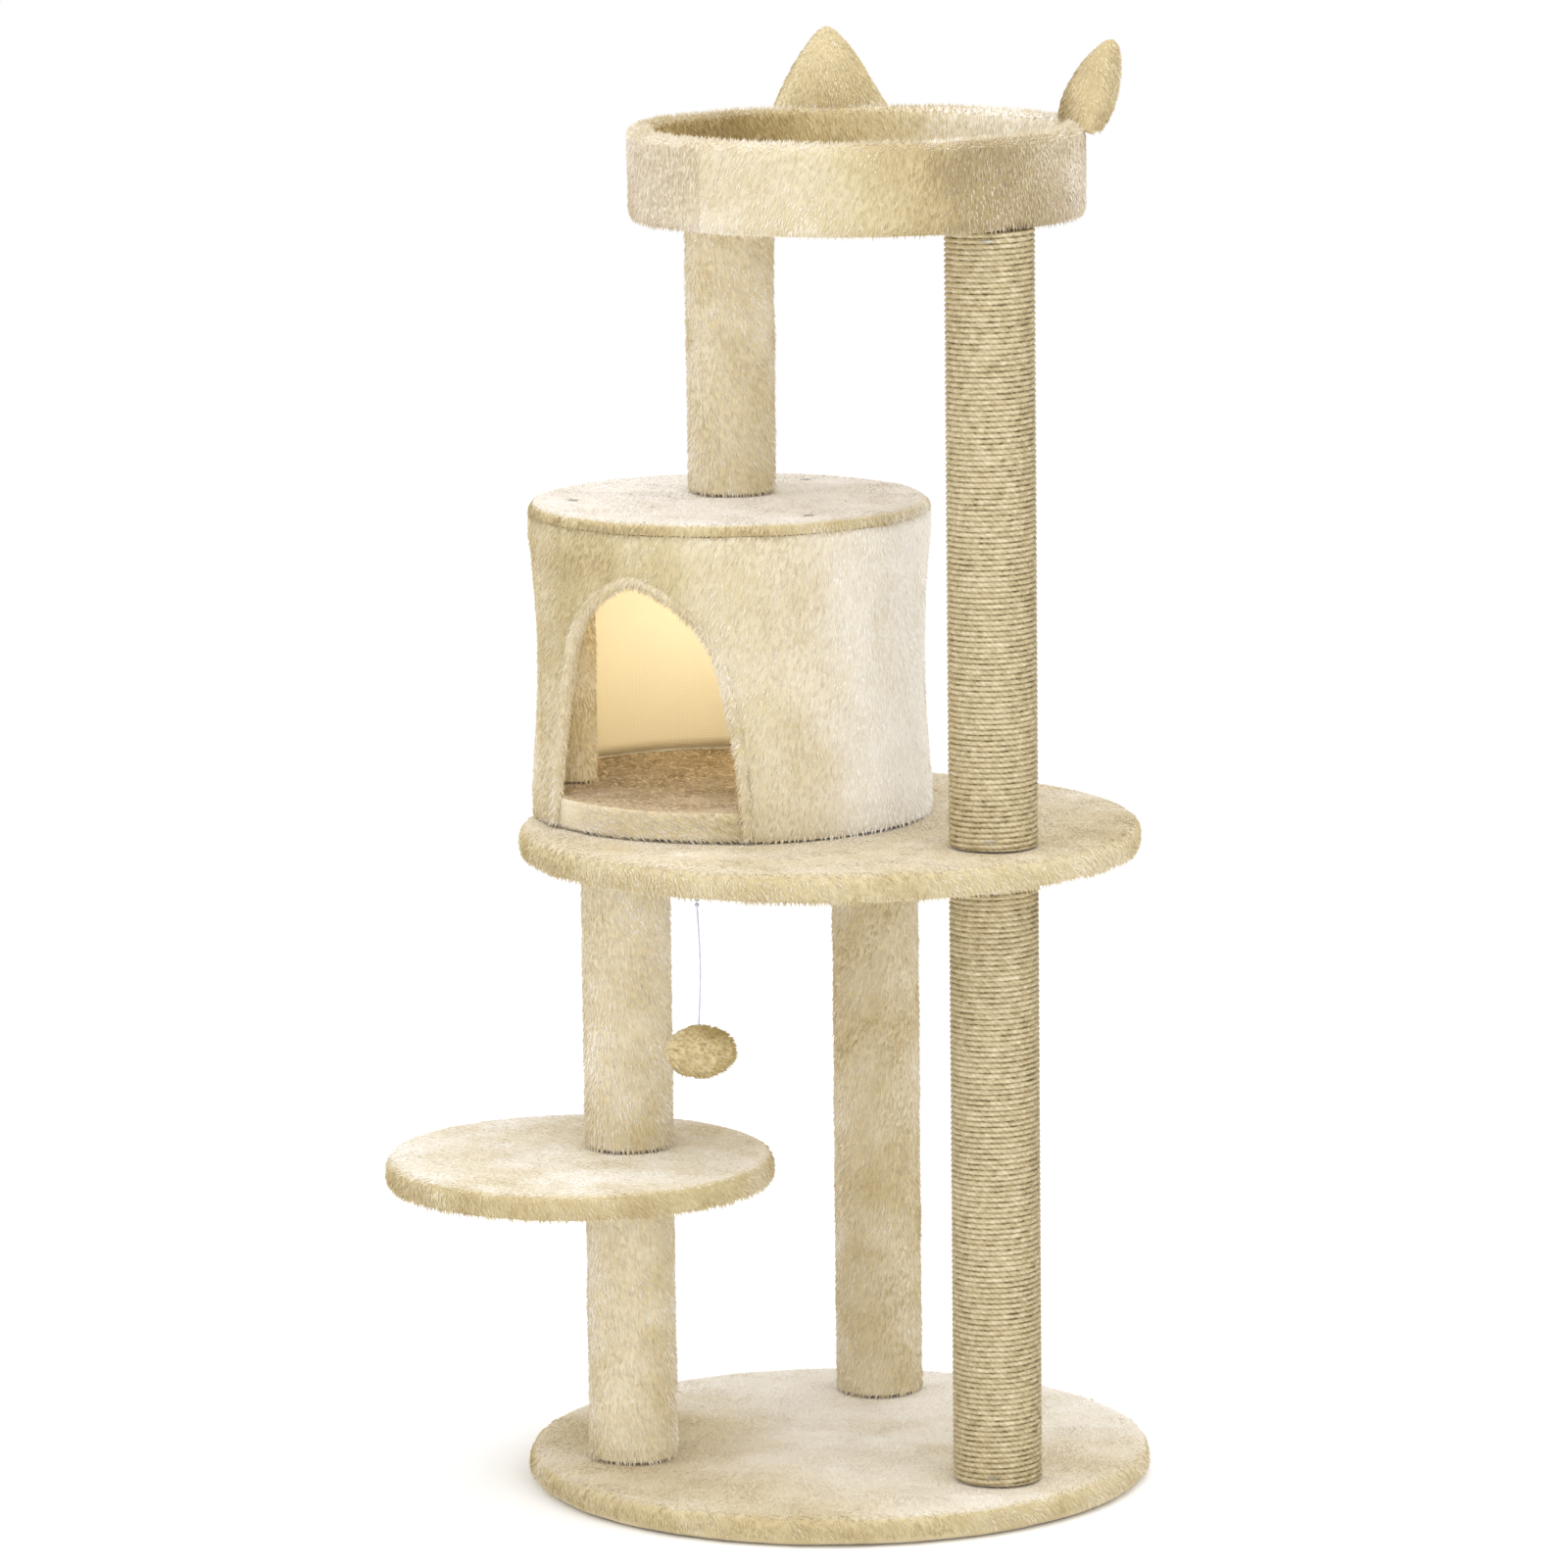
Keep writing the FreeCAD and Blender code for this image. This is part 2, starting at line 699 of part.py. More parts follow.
def ear(label, turn):
    body = doc.addObject("PartDesign::Body", f"{label}_body")
    sketch = new_sketch(body, "XZ_Plane")
    outline(sketch, [("0 - ear_half", "0"), ("ear_half", "0"), ("0", "ear_rise + ear_sunk")])
    feature = body.newObject("PartDesign::Pad", "Pad")
    feature.Profile = sketch
    feature.Midplane = True
    bind(feature, "Length", "ear_thick")
    body.Tip = feature
    doc.recompute()
    tip = value("ear_rise + ear_sunk")
    edges = [
        f"Edge{i}" for i, edge in enumerate(feature.Shape.Edges, start=1)
        if all(abs(v.X) < 1e-6 and abs(v.Z - tip) < 1e-6 for v in edge.Vertexes)
    ]
    rounded_tip = body.newObject("PartDesign::Fillet", "Tip")
    rounded_tip.Base = (feature, edges)
    bind(rounded_tip, "Radius", "ear_tip_round")
    body.Tip = rounded_tip
    doc.recompute()
    side = value("ear_thick") / 2
    edges = [
        f"Edge{i}" for i, edge in enumerate(rounded_tip.Shape.Edges, start=1)
        if all(abs(abs(v.Y) - side) < 1e-6 for v in edge.Vertexes)
        and abs(edge.Vertexes[0].Y - edge.Vertexes[-1].Y) < 1e-6
        and any(v.Z > 1e-6 for v in edge.Vertexes)
    ]
    soft_sides = body.newObject("PartDesign::Fillet", "Sides")
    soft_sides.Base = (rounded_tip, edges)
    bind(soft_sides, "Radius", "ear_round")
    body.Tip = soft_sides
    angle = math.radians(value(turn))
    reach = value("bed_board_radius")
    body.Placement = FreeCAD.Placement(
        V(value("bed_x") + reach * math.cos(angle), value("bed_y") + reach * math.sin(angle),
          value("rim_top - ear_sunk")),
        FreeCAD.Rotation(V(0, 0, 1), value(turn) + 90)
        * FreeCAD.Rotation(V(1, 0, 0), value("ear_lean")),
    )
    below = cylinder("bed_radius + ear_thick", "bed_rise", (*BED, "bed_low"))
    keep(cut(body, below, label), label)


ear("left_ear", "left_ear_turn")
ear("right_ear", "right_ear_turn")


# Hanging toy: a staple, a loop that turns on it, and a ball on a knotted string

TOY = ("toy_x", "toy_y")
bar_side = "toy_y - bar_half_width"
bar = box(("bar_length", "bar_width", "bar_thick"), ("toy_x - bar_half", bar_side, "bar_low"))
legs = [
    box(("bar_width", "bar_width", "bar_drop"), (leg_side, bar_side, "bar_low"))
    for leg_side in ("toy_x - bar_half", "toy_x + bar_half - bar_width")
]
keep(fuse(bar, *legs), "toy_staple")
loop = doc.addObject("Part::Torus", "Torus")
bind(loop, "Radius1", "loop_radius")
bind(loop, "Radius2", "string_radius")
loop.Placement.Rotation = FreeCAD.Rotation(V(0, 1, 0), 90)
place(loop, (*TOY, "loop_middle"))
keep(loop, "toy_loop")
knot = doc.addObject("Part::Sphere", "Sphere")
bind(knot, "Radius", "knot_radius")
place(knot, (*TOY, "knot_middle"))
keep(knot, "toy_knot")
ball = doc.addObject("Part::Ellipsoid", "Ellipsoid")
bind(ball, "Radius1", "ball_tall")
bind(ball, "Radius2", "ball_long")
bind(ball, "Radius3", "ball_deep")
ball.Placement.Rotation = FreeCAD.Rotation(V(0, 0, 1), value("ball_turn"))
place(ball, (*TOY, "ball_middle"))
keep(ball, "toy_ball")

# The string's route from knot to ball: how far it bows along the ball's length, and its height.
STRING_SINK = 1.0
STRING_ROUTE = (
    (0.0, value("knot_middle - knot_radius") + STRING_SINK),
    (1.9, 453.0),
    (2.0, 421.0),
    (0.0, value("ball_middle + ball_tall") - STRING_SINK),
)


def tube(label, points, radius):
    """A round tube along straight runs joined by tangent arcs."""
    edges, start = [], points[0]
    for before, corner, after in zip(points, points[1:], points[2:]):
        back, ahead = (before - corner).normalize(), (after - corner).normalize()
        half_turn = (math.pi - back.getAngle(ahead)) / 2
        shorter = min(before.distanceToPoint(corner), corner.distanceToPoint(after))
        setback = 0.45 * shorter
        bend = setback / math.tan(half_turn)
        centre = corner + (back + ahead).normalize() * math.hypot(bend, setback)
        middle = centre + (corner - centre).normalize() * bend
        arc_start, arc_end = corner + back * setback, corner + ahead * setback
        edges += [Part.LineSegment(start, arc_start).toShape(),
                  Part.Arc(arc_start, middle, arc_end).toShape()]
        print(f"{label}: bend radius {bend:.0f} mm")
        start = arc_end
    edges.append(Part.LineSegment(start, points[-1]).toShape())
    path = Part.Wire(edges)
    length = path.Length
    section = Part.Wire(Part.Circle(points[0], points[1] - points[0], radius).toShape())
    solid = path.makePipeShell([section], True, False)
    expected = math.pi * radius ** 2 * length
    print(f"{label}: length {length:.1f} mm, volume {solid.Volume / expected:.4f} of expected")
    shape = doc.addObject("Part::Feature", label)
    shape.Shape = solid
    return keep(shape, label)


sideways = V(math.cos(math.radians(value("ball_turn"))),
             math.sin(math.radians(value("ball_turn"))), 0)
tube("toy_string",
     [V(value("toy_x"), value("toy_y"), height) + sideways * bow for bow, height in STRING_ROUTE],
     value("string_radius"))


doc.recompute()
faults = [f"{o.Label}: {o.State}" for o in doc.Objects if {"Invalid", "Error"} & set(o.State)]
for piece in pieces:
    if piece.Shape.isNull() or not piece.Shape.isValid() or not piece.Shape.Solids:
        faults.append(f"{piece.Label}: no valid solid")
if faults:
    raise SystemExit("\n".join(faults))

os.makedirs("parts", exist_ok=True)
for piece in pieces:
    piece.Shape.exportStep(f"parts/{piece.Label}.step")
    print(f"{piece.Label}: {len(piece.Shape.Solids)} solids, {piece.Shape.Volume / 1000:.1f} cm3")
print(f"{len(pieces)} sub-parts")
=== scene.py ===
import json
import math

import bpy
import numpy as np
from mathutils import Matrix, Vector


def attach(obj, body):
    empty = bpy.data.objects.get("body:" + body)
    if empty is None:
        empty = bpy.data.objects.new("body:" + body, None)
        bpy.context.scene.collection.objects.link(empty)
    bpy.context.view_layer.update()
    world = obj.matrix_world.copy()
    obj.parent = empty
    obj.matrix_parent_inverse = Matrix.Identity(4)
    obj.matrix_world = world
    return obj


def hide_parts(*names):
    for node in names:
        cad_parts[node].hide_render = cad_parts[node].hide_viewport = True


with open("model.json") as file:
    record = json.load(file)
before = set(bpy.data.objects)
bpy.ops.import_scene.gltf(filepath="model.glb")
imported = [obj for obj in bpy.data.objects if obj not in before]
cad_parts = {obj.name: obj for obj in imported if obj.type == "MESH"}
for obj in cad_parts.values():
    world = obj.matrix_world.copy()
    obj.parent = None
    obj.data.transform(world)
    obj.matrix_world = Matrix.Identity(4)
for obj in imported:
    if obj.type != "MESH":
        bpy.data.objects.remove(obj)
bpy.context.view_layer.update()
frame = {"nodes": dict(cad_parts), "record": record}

mm = 0.001
scene = bpy.context.scene
nodes = frame["nodes"]
bpy.ops.object.select_all(action="DESELECT")


def metres(*sizes):
    return tuple(size * mm for size in sizes)


def colour(code, alpha=1.0):
    # an sRGB hex value as linear light
    parts = [int(code[i:i + 2], 16) / 255 for i in (1, 3, 5)]
    linear = [c / 12.92 if c <= 0.04045 else ((c + 0.055) / 1.055) ** 2.4 for c in parts]
    return (*linear, alpha)


def addNode(tree, kind, settings=None, inputs=None):
    # one node with its settings, and its inputs as values or links
    node = tree.nodes.new(kind)
    for name, setting in (settings or {}).items():
        setattr(node, name, setting)
    for name, given in (inputs or {}).items():
        if isinstance(given, bpy.types.NodeSocket):
            tree.links.new(given, node.inputs[name])
        else:
            node.inputs[name].default_value = given
    return node

def addMath(tree, operation, *given):
    # the result of a maths node
    return addNode(tree, "ShaderNodeMath", {"operation": operation}, dict(enumerate(given))).outputs[0]


def addVector(tree, operation, *given, **named):
    # the result of a vector maths node
    inputs = {**dict(enumerate(given)), **named}
    return addNode(tree, "ShaderNodeVectorMath", {"operation": operation}, inputs).outputs[0]


def addNoise(tree, place, size, detail):
    # clouds of about this many mm
    return addNode(tree, "ShaderNodeTexNoise", None,
                   {"Vector": place, "Scale": 1000 / size, "Detail": detail})


def addRamp(tree, tone, stops):
    # a colour ramp through stops of position and hex value
    ramp = addNode(tree, "ShaderNodeValToRGB", None, {"Fac": tone})
    elements = ramp.color_ramp.elements
    ends = {0: 0, len(stops) - 1: -1}
    for i, (position, code) in enumerate(stops):
        element = elements[ends[i]] if i in ends else elements.new(position)
        element.position = position
        element.color = colour(code)
    return ramp.outputs["Color"]


def addLift(tree, shader, height, strength, depth):
    # fine relief, depth in mm
    lift = addNode(tree, "ShaderNodeBump", None,
                   {"Height": height, "Strength": strength, "Distance": depth * mm})
    tree.links.new(lift.outputs["Normal"], shader.inputs["Normal"])


def startPiece(obj, name):
    obj.name = name
    obj.data.name = name
    return obj


def copyOf(obj, name):
    # a copy of a piece or node, without the marks that the frame put on it
    copied = obj.copy()
    copied.data = obj.data.copy()
    for key in [k for k in copied.keys() if k.startswith("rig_")]:
        del copied[key]
    scene.collection.objects.link(copied)
    return startPiece(copied, name)


def readVectors(items, name):
    values = np.empty(len(items) * 3)
    items.foreach_get(name, values)
    return values.reshape(-1, 3)


def storeValues(mesh, name, domain, values):
    attribute = mesh.attributes.new(name, "FLOAT", domain)
    attribute.data.foreach_set("value", values.astype(np.float32))


def active(obj):
    if bpy.context.object and bpy.context.object.mode != "OBJECT":
        bpy.ops.object.mode_set(mode="OBJECT")
    bpy.ops.object.select_all(action="DESELECT")
    obj.select_set(True)
    bpy.context.view_layer.objects.active = obj
    return obj


def applied(obj, kind, **settings):
    # a modifier, set and applied at once
    active(obj)
    modifier = obj.modifiers.new(kind.lower(), kind)
    for name, setting in settings.items():
        setattr(modifier, name, setting)
    bpy.ops.object.modifier_apply(modifier=modifier.name)
    return obj


def relief(obj, size, depth, detail=1):
    # soft unevenness of a stuffed or stretched cloth
    texture = bpy.data.textures.new("unevenness", "CLOUDS")
    texture.noise_scale = size * mm
    texture.noise_depth = detail
    applied(obj, "DISPLACE", texture=texture, strength=depth * mm, mid_level=0.5,
            texture_coords="LOCAL")
    bpy.data.textures.remove(texture)
    return obj

camera = {
    "place": (2.98983, -5.39379, 1.59806),
    "turn": 29.355,
    "tilt": 90 - 9.654,
    "roll": -0.642,
    "lens": 184.27,
    "sensor": 36,
    "sees": 60,
}
lens = bpy.data.cameras.new("studio_camera")
lens.lens = camera["lens"]
lens.sensor_width = camera["sensor"]
lens.clip_end = camera["sees"]
eye = bpy.data.objects.new("studio_camera", lens)
eye.matrix_world = (
    Matrix.Translation(camera["place"])
    @ Matrix.Rotation(math.radians(camera["turn"]), 4, "Z")
    @ Matrix.Rotation(math.radians(camera["tilt"]), 4, "X")
    @ Matrix.Rotation(math.radians(camera["roll"]), 4, "Z")
)
scene.collection.objects.link(eye)
scene.camera = eye

scene.view_settings.view_transform = "Standard"
studio = bpy.data.worlds.new("studio")
scene.world = studio
studio.use_nodes = True
studio.node_tree.nodes["Background"].inputs["Color"].default_value = colour("#FFFFFF")
studio.node_tree.nodes["Background"].inputs["Strength"].default_value = 1.0

lamps = {
    # name: place, size, watts, colour
    "left_softbox": ((-2.6, -2.6, 2.4), 1.8, 17, "#F6F8FF"),
    "right_softbox": ((3.2, -2.2, 1.6), 1.6, 15, "#F6F9FF"),
    "top_softbox": ((0.6, -0.5, 3.2), 3.4, 50, "#F5F8FF"),
    "front_fill": ((2.3, -4.2, 1.2), 1.0, 26, "#F6F9FF"),
}
lampsFace = Vector((0, 0, 0.6))
for name, (place, size, watts, tint) in lamps.items():
    lamp = bpy.data.lights.new(name, "AREA")
    lamp.energy = watts
    lamp.size = size
    lamp.color = colour(tint)[:3]
    holder = bpy.data.objects.new(name, lamp)
    holder.location = place
    holder.rotation_euler = (lampsFace - Vector(place)).to_track_quat("-Z", "Y").to_euler()
    scene.collection.objects.link(holder)

# daylight that the real cloth lets through into the condo
glow = {"place": (-0.065, 0.065, 0.69), "size": 0.03, "watts": 0.58, "colour": "#FBFAF6"}
lamp = bpy.data.lights.new("condo_glow", "POINT")
lamp.energy = glow["watts"]
lamp.shadow_soft_size = glow["size"]
lamp.color = colour(glow["colour"])[:3]
holder = bpy.data.objects.new("condo_glow", lamp)
holder.location = glow["place"]
holder.visible_camera = False
scene.collection.objects.link(holder)
print("camera and lights")

# where things stand, and the condo's and the bed's middles
posts = {"left": (-119.4, -118), "back": (-50.8, 158.9), "scratch": (168, -51), "bed": (-103.8, 28.7)}
condo = (-91.2, 1.8)
bed = (32.1, -11.15)


def newMaterial(name, base, rough=0.8, **sockets):
    made = bpy.data.materials.new(name)
    made.use_nodes = True
    shader = made.node_tree.nodes["Principled BSDF"]
    shader.inputs["Base Color"].default_value = colour(base)
    shader.inputs["Roughness"].default_value = rough
    for socket, setting in sockets.items():
        shader.inputs[socket.replace("_", " ")].default_value = setting
    return made, made.node_tree, shader
def mottled(name, light, dark, patch, grain, bump, rough=0.85, stretch=(1, 1, 1), **sockets):
    # two close shades in patches, with a fine grain that also lifts the surface; sizes in mm
    made, tree, shader = newMaterial(name, light, rough, **sockets)
    place = addNode(tree, "ShaderNodeTexCoord").outputs["Object"]
    stretched = addNode(tree, "ShaderNodeMapping", None, {"Vector": place, "Scale": stretch})
    broad = addNoise(tree, place, patch, 3.0).outputs["Fac"]
    fine = addNoise(tree, stretched.outputs["Vector"], grain, 2.0).outputs["Fac"]
    blend = addMath(tree, "MULTIPLY_ADD", fine, 0.6, broad)
    tree.links.new(addRamp(tree, blend, [(0.6, dark), (1.0, light)]), shader.inputs["Base Color"])
    addLift(tree, shader, fine, 0.7, bump)
    return made


# knitted polyester plush, cropped: matt cloth under the pile, with a pale sheen at the edges
nap = {"Sheen_Weight": 0.45, "Sheen_Roughness": 0.45, "Sheen_Tint": colour("#FFF3EC"),
       "Specular_IOR_Level": 0.15}
knit = {"patch": 45, "grain": 2.2, "bump": 0.7}
plushCloth = mottled("knitted_polyester_plush", "#E0D4B8", "#CFBD92", **knit, stretch=(1, 1, 0.4), **nap)
# the condo floor's cloth, browner and darker: painted shade inside the condo
floorCloth = mottled("painted_shade_floor_plush", "#CDB98F", "#A98F64", 35, 2.5, 0.6, stretch=(0.4, 1, 1),
                     **nap)


def pileSet(kind, *codes):
    # single tufts of the same plush, in steps from pale to deep; the steps carry painted light and shade as
    # well as the plush's own patchy tone
    return [newMaterial(f"{kind}_pile_{i + 1}", code, 0.75, **nap)[0] for i, code in enumerate(codes)]


def napCloth(name, codes, clouds=40):
    # plush whose shade follows the nap attribute of the piece, which holds its painted light and shade, in the
    # same steps as its pile
    cloth = mottled(name, codes[2], codes[4], **knit, **nap)
    tree = cloth.node_tree
    place = addNode(tree, "ShaderNodeTexCoord").outputs["Object"]
    lay = addNode(tree, "ShaderNodeAttribute", {"attribute_name": "nap"}).outputs["Fac"]
    tone = addMath(tree, "MULTIPLY_ADD", addNoise(tree, place, clouds, 3.0).outputs["Fac"], 0.5, -0.06)
    tone = addMath(tree, "MULTIPLY_ADD", lay, 6 / len(codes), tone)
    shades = addRamp(tree, tone, [((i + 0.5) / len(codes), code) for i, code in enumerate(codes)])
    tree.links.new(shades, tree.nodes["Principled BSDF"].inputs["Base Color"])
    return cloth


sideCodes = ("#F4F0E8", "#EBE5D8", "#E2D9C5", "#D9CDB1", "#CFC19C", "#C3B288", "#B4A279", "#A2906A")
sidePile = pileSet("polyester", *sideCodes)
# the plush cloth, its tone following the painted light and shade of each piece
sideCloth = napCloth("painted_light_and_shade_plush", sideCodes)
# painted sheen: seen along its tips, the pile on the roof and round the bed's right side and back is paler
topPile = pileSet("painted_sheen_polyester", "#F4F0EA", "#EDE8DF", "#E7E0D4", "#E0D7C8", "#D8CDBA", "#CFC2AB",
                  "#C4B599", "#B7A787")
# the pile in the bed and on the ball, deeper and more golden: painted shade
goldPile = pileSet("shaded_polyester", "#ECE4D0", "#E4DABF", "#DBCEA9", "#D1C193", "#C6B381", "#B8A370",
                   "#A8925F", "#958051")
# the condo floor's pile, walked flat, and browner and darker: painted shade inside the condo
floorPile = pileSet("painted_shade_floor_polyester", "#E6DBC8", "#DCCEB6", "#D0C0A4", "#C2B08F", "#B39F7E", "#A48F6E",
                    "#937E5F", "#806C50")


def sisalRope():
    # natural sisal, three-strand rope: straw-coloured ridges with a slight gloss, and painted shade between the
    # turns and on the side turned from the light
    made, tree, shader = newMaterial("twisted_sisal_rope", "#D3C4A0", 0.55, Specular_IOR_Level=0.35)
    place = addNode(tree, "ShaderNodeTexCoord").outputs["Object"]
    along = addNode(tree, "ShaderNodeMapping", None, {"Vector": place, "Scale": (0.4, 0.4, 2.0)})
    # fibres 0.3 mm wide, drawn at 1.2 mm so that they show
    fibre = addNoise(tree, along.outputs["Vector"], 2.4, 3.0).outputs["Fac"]
    ridge = addNode(tree, "ShaderNodeAttribute", {"attribute_name": "ridge"}).outputs["Fac"]
    tone = addMath(tree, "ADD", addMath(tree, "MULTIPLY_ADD", fibre, 0.9, -0.45), ridge)
    straw = addRamp(tree, tone, [(0.0, "#5F5034"), (0.35, "#A39269"), (0.65, "#C5B590"), (1.0, "#E6DCC3")])
    tree.links.new(straw, shader.inputs["Base Color"])
    addLift(tree, shader, fibre, 0.8, 0.5)
    return made


def wovenScrim(thread, radius):
    # plain weave polyester scrim, golden, its threads crossing on the bias round the condo's wall
    made, tree, shader = newMaterial("woven_polyester_scrim", "#F0DDAE", 0.8)
    place = addNode(tree, "ShaderNodeTexCoord").outputs["Object"]
    fromMiddle = addVector(tree, "SUBTRACT", place, metres(*condo, 0))
    x, y, z = addNode(tree, "ShaderNodeSeparateXYZ", None, {0: fromMiddle}).outputs
    girth = addMath(tree, "MULTIPLY", addMath(tree, "ARCTAN2", y, x), radius * mm)
    waves = []
    for way in ("ADD", "SUBTRACT"):
        phase = addMath(tree, "MULTIPLY", addMath(tree, way, girth, z), math.tau / (thread * mm))
        waves.append(addMath(tree, "SINE", phase))
    share = addMath(tree, "MULTIPLY_ADD", addMath(tree, "MULTIPLY", *waves), 0.5, 0.5)
    mixed = addNode(tree, "ShaderNodeMix", {"data_type": "RGBA"},
                    {0: share, 6: colour("#E0D2AC"), 7: colour("#F4EBD0")})
    tree.links.new(mixed.outputs[2], shader.inputs["Base Color"])
    addLift(tree, shader, share, 0.5, 0.3)
    return made


sisal = sisalRope()
# 1.3 mm threads, drawn at twice that so that they show
scrim = wovenScrim(2.6, 153)
# non-woven polypropylene felt, needled
felt = mottled("needled_felt", "#D8CDB4", "#C6B998", 20, 1.2, 0.3, 0.95)
# open cell polyurethane foam
foam = mottled("polyurethane_foam", "#F2EBCB", "#E2D6A8", 30, 1.0, 0.4, 0.95)
# medium density fibreboard, sawn
board = mottled("medium_density_fibreboard", "#B9966A", "#9C7C52", 12, 0.8, 0.1, 0.8)
# spiral wound kraft paper tube
paper = mottled("kraft_paper_tube", "#B08D62", "#9A784E", 25, 1.5, 0.1, 0.85)
# turned pine
pine = mottled("turned_pine", "#D9B886", "#BF9560", 14, 1.2, 0.1, 0.6, stretch=(1, 1, 0.08))
# moulded polypropylene plug
plastic = mottled("moulded_polypropylene", "#2C2C2E", "#232325", 15, 0.6, 0.05, 0.45)
# zinc plated steel
steel = mottled("zinc_plated_steel", "#A9A79F", "#8F8C84", 6, 0.5, 0.02, 0.35, Metallic=1.0)
# braided polyester cord, white
cordWhite = mottled("braided_polyester_cord", "#C4C6DC", "#A9ABC4", 4, 0.5, 0.1, 0.6)

bySlot = {
    "beige_plush": plushCloth, "underside_felt": felt, "woven_scrim": scrim, "sisal_rope": sisal,
    "toy_cord": cordWhite, "rim_foam": foam, "mdf_board": board, "paper_tube": paper,
    "pine_dowel": pine, "plug_plastic": plastic, "zinc_steel": steel,
}
for part in frame["record"]["subparts"]:
    for place in nodes[part["node"]].material_slots:
        place.material = bySlot[part["material_slot"]]
print("materials")


def softened(corners, longest):
    # a closed outline of (radius, height, rounding) with its corners rounded and its long runs divided
    points = []
    count = len(corners)
    for i, (r, z, soft) in enumerate(corners):
        here = Vector((r, z))
        if not soft:
            points.append(here)
            continue
        before = Vector(corners[i - 1][:2])
        after = Vector(corners[(i + 1) % count][:2])
        into = here + (before - here).normalized() * soft
        out = here + (after - here).normalized() * soft
        steps = 5
        for k in range(steps + 1):
            t = k / steps
            points.append(into * (1 - t) ** 2 + here * 2 * t * (1 - t) + out * t ** 2)
    full = []
    for i, here in enumerate(points):
        after = points[(i + 1) % len(points)]
        pieces = max(1, math.ceil((after - here).length / longest))
        full += [here.lerp(after, k / pieces) for k in range(pieces)]
    return full

def drawn(name, points):
    # an outline extruded point by point from one vertex, left whole and selected in edit mode
    bpy.ops.object.select_all(action="DESELECT")
    bpy.ops.mesh.primitive_plane_add(size=mm, location=(0, 0, 0))
    obj = startPiece(bpy.context.active_object, name)
    bpy.ops.object.mode_set(mode="EDIT")
    bpy.ops.mesh.select_all(action="SELECT")
    bpy.ops.mesh.merge(type="CENTER")
    bpy.ops.transform.translate(value=points[0])
    for before, after in zip(points, points[1:]):
        bpy.ops.mesh.extrude_region_move(TRANSFORM_OT_translate={"value": after - before})
    bpy.ops.mesh.select_all(action="SELECT")
    return obj


def turned(name, middle, corners, steps=144, longest=9):
    # an outline in mm, spun about an upright axis
    points = [Vector((middle[0] + p.x, middle[1], p.y)) * mm for p in softened(corners, longest)]
    obj = drawn(name, points + points[:1])
    bpy.ops.mesh.remove_doubles(threshold=0.02 * mm)
    bpy.ops.mesh.spin(steps=steps, angle=math.tau, center=metres(*middle, 0), axis=(0, 0, 1))
    bpy.ops.mesh.select_all(action="SELECT")
    bpy.ops.mesh.remove_doubles(threshold=0.02 * mm)
    bpy.ops.mesh.normals_make_consistent(inside=False)
    bpy.ops.object.mode_set(mode="OBJECT")
    bpy.ops.object.shade_smooth()
    return obj


def tube(name, path, radius, between, roundness):
    # a round tube along points in mm
    bpy.ops.object.select_all(action="DESELECT")
    bpy.ops.curve.primitive_nurbs_path_add()
    obj = startPiece(bpy.context.active_object, name)
    obj.location = (0, 0, 0)
    obj.data.splines.clear()
    line = obj.data.splines.new("NURBS")
    line.points.add(len(path) - 1)
    for point, spot in zip(line.points, path):
        point.co = (*metres(*spot), 1)
    line.order_u = 3
    line.use_endpoint_u = True
    line.resolution_u = between
    obj.data.dimensions = "3D"
    obj.data.bevel_depth = radius * mm
    obj.data.bevel_resolution = roundness
    obj.data.use_fill_caps = True
    return obj

def dress(obj, material, body, replaced=()):
    obj.data.materials.clear()
    obj.data.materials.append(material)
    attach(obj, body)
    if replaced:
        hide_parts(*replaced)
    return obj
# a tuft's size in mm and its spread in size; the share of each stated density that is drawn, to keep it light
tuft = {"sides": 3, "width": 1.28, "length": 4.6, "smallest": 0.7, "largest": 1.25, "share": 0.82}
# how much the tone of the pile varies from patch to patch and from tuft to tuft, and the shades in one tone
toneRange = {"patches": 1.1, "patchSize": 1.3, "tufts": 0.12, "shades": 6.0, "first": 1.0, "last": 7.0}
bpy.ops.mesh.primitive_cone_add(vertices=tuft["sides"], radius1=0.5, radius2=0, depth=1, location=(0, 0, 0.5))
tuftModel = startPiece(bpy.context.active_object, "one_tuft")
bpy.ops.object.transform_apply(location=True)
for shade in sidePile:
    tuftModel.data.materials.append(shade)


def addRandom(tree, low, high, seed):
    # a value drawn for each tuft
    node = addNode(tree, "FunctionNodeRandomValue", {"data_type": "FLOAT"}, {2: low, 3: high, "Seed": seed})
    return node.outputs[1]


def addRead(tree, name):
    node = addNode(tree, "GeometryNodeInputNamedAttribute", {"data_type": "FLOAT"}, {"Name": name})
    return node.outputs["Attribute"]


def tuftLean(tree, up, spot, flow, side, upright, flutter, jitter, patch, seed):
    # which way each tuft points: along the nap, off the skin, in swirls, and a little at random
    across = addVector(tree, "CROSS_PRODUCT", (0.0, 0.0, 1.0), up)
    swirl = addVector(tree, "SUBTRACT", addNoise(tree, spot, patch, 1.0).outputs["Color"], (0.5, 0.5, 0.5))
    loose = addNode(tree, "FunctionNodeRandomValue", {"data_type": "FLOAT_VECTOR"},
                    {"Min": (-jitter,) * 3, "Max": (jitter,) * 3, "Seed": seed + 1})
    lean = addVector(tree, "ADD", addVector(tree, "SCALE", across, Scale=side), flow)
    for part in (addVector(tree, "SCALE", up, Scale=upright),
                 addVector(tree, "SCALE", swirl, Scale=flutter * 2), loose.outputs["Value"]):
        lean = addVector(tree, "ADD", lean, part)
    return lean


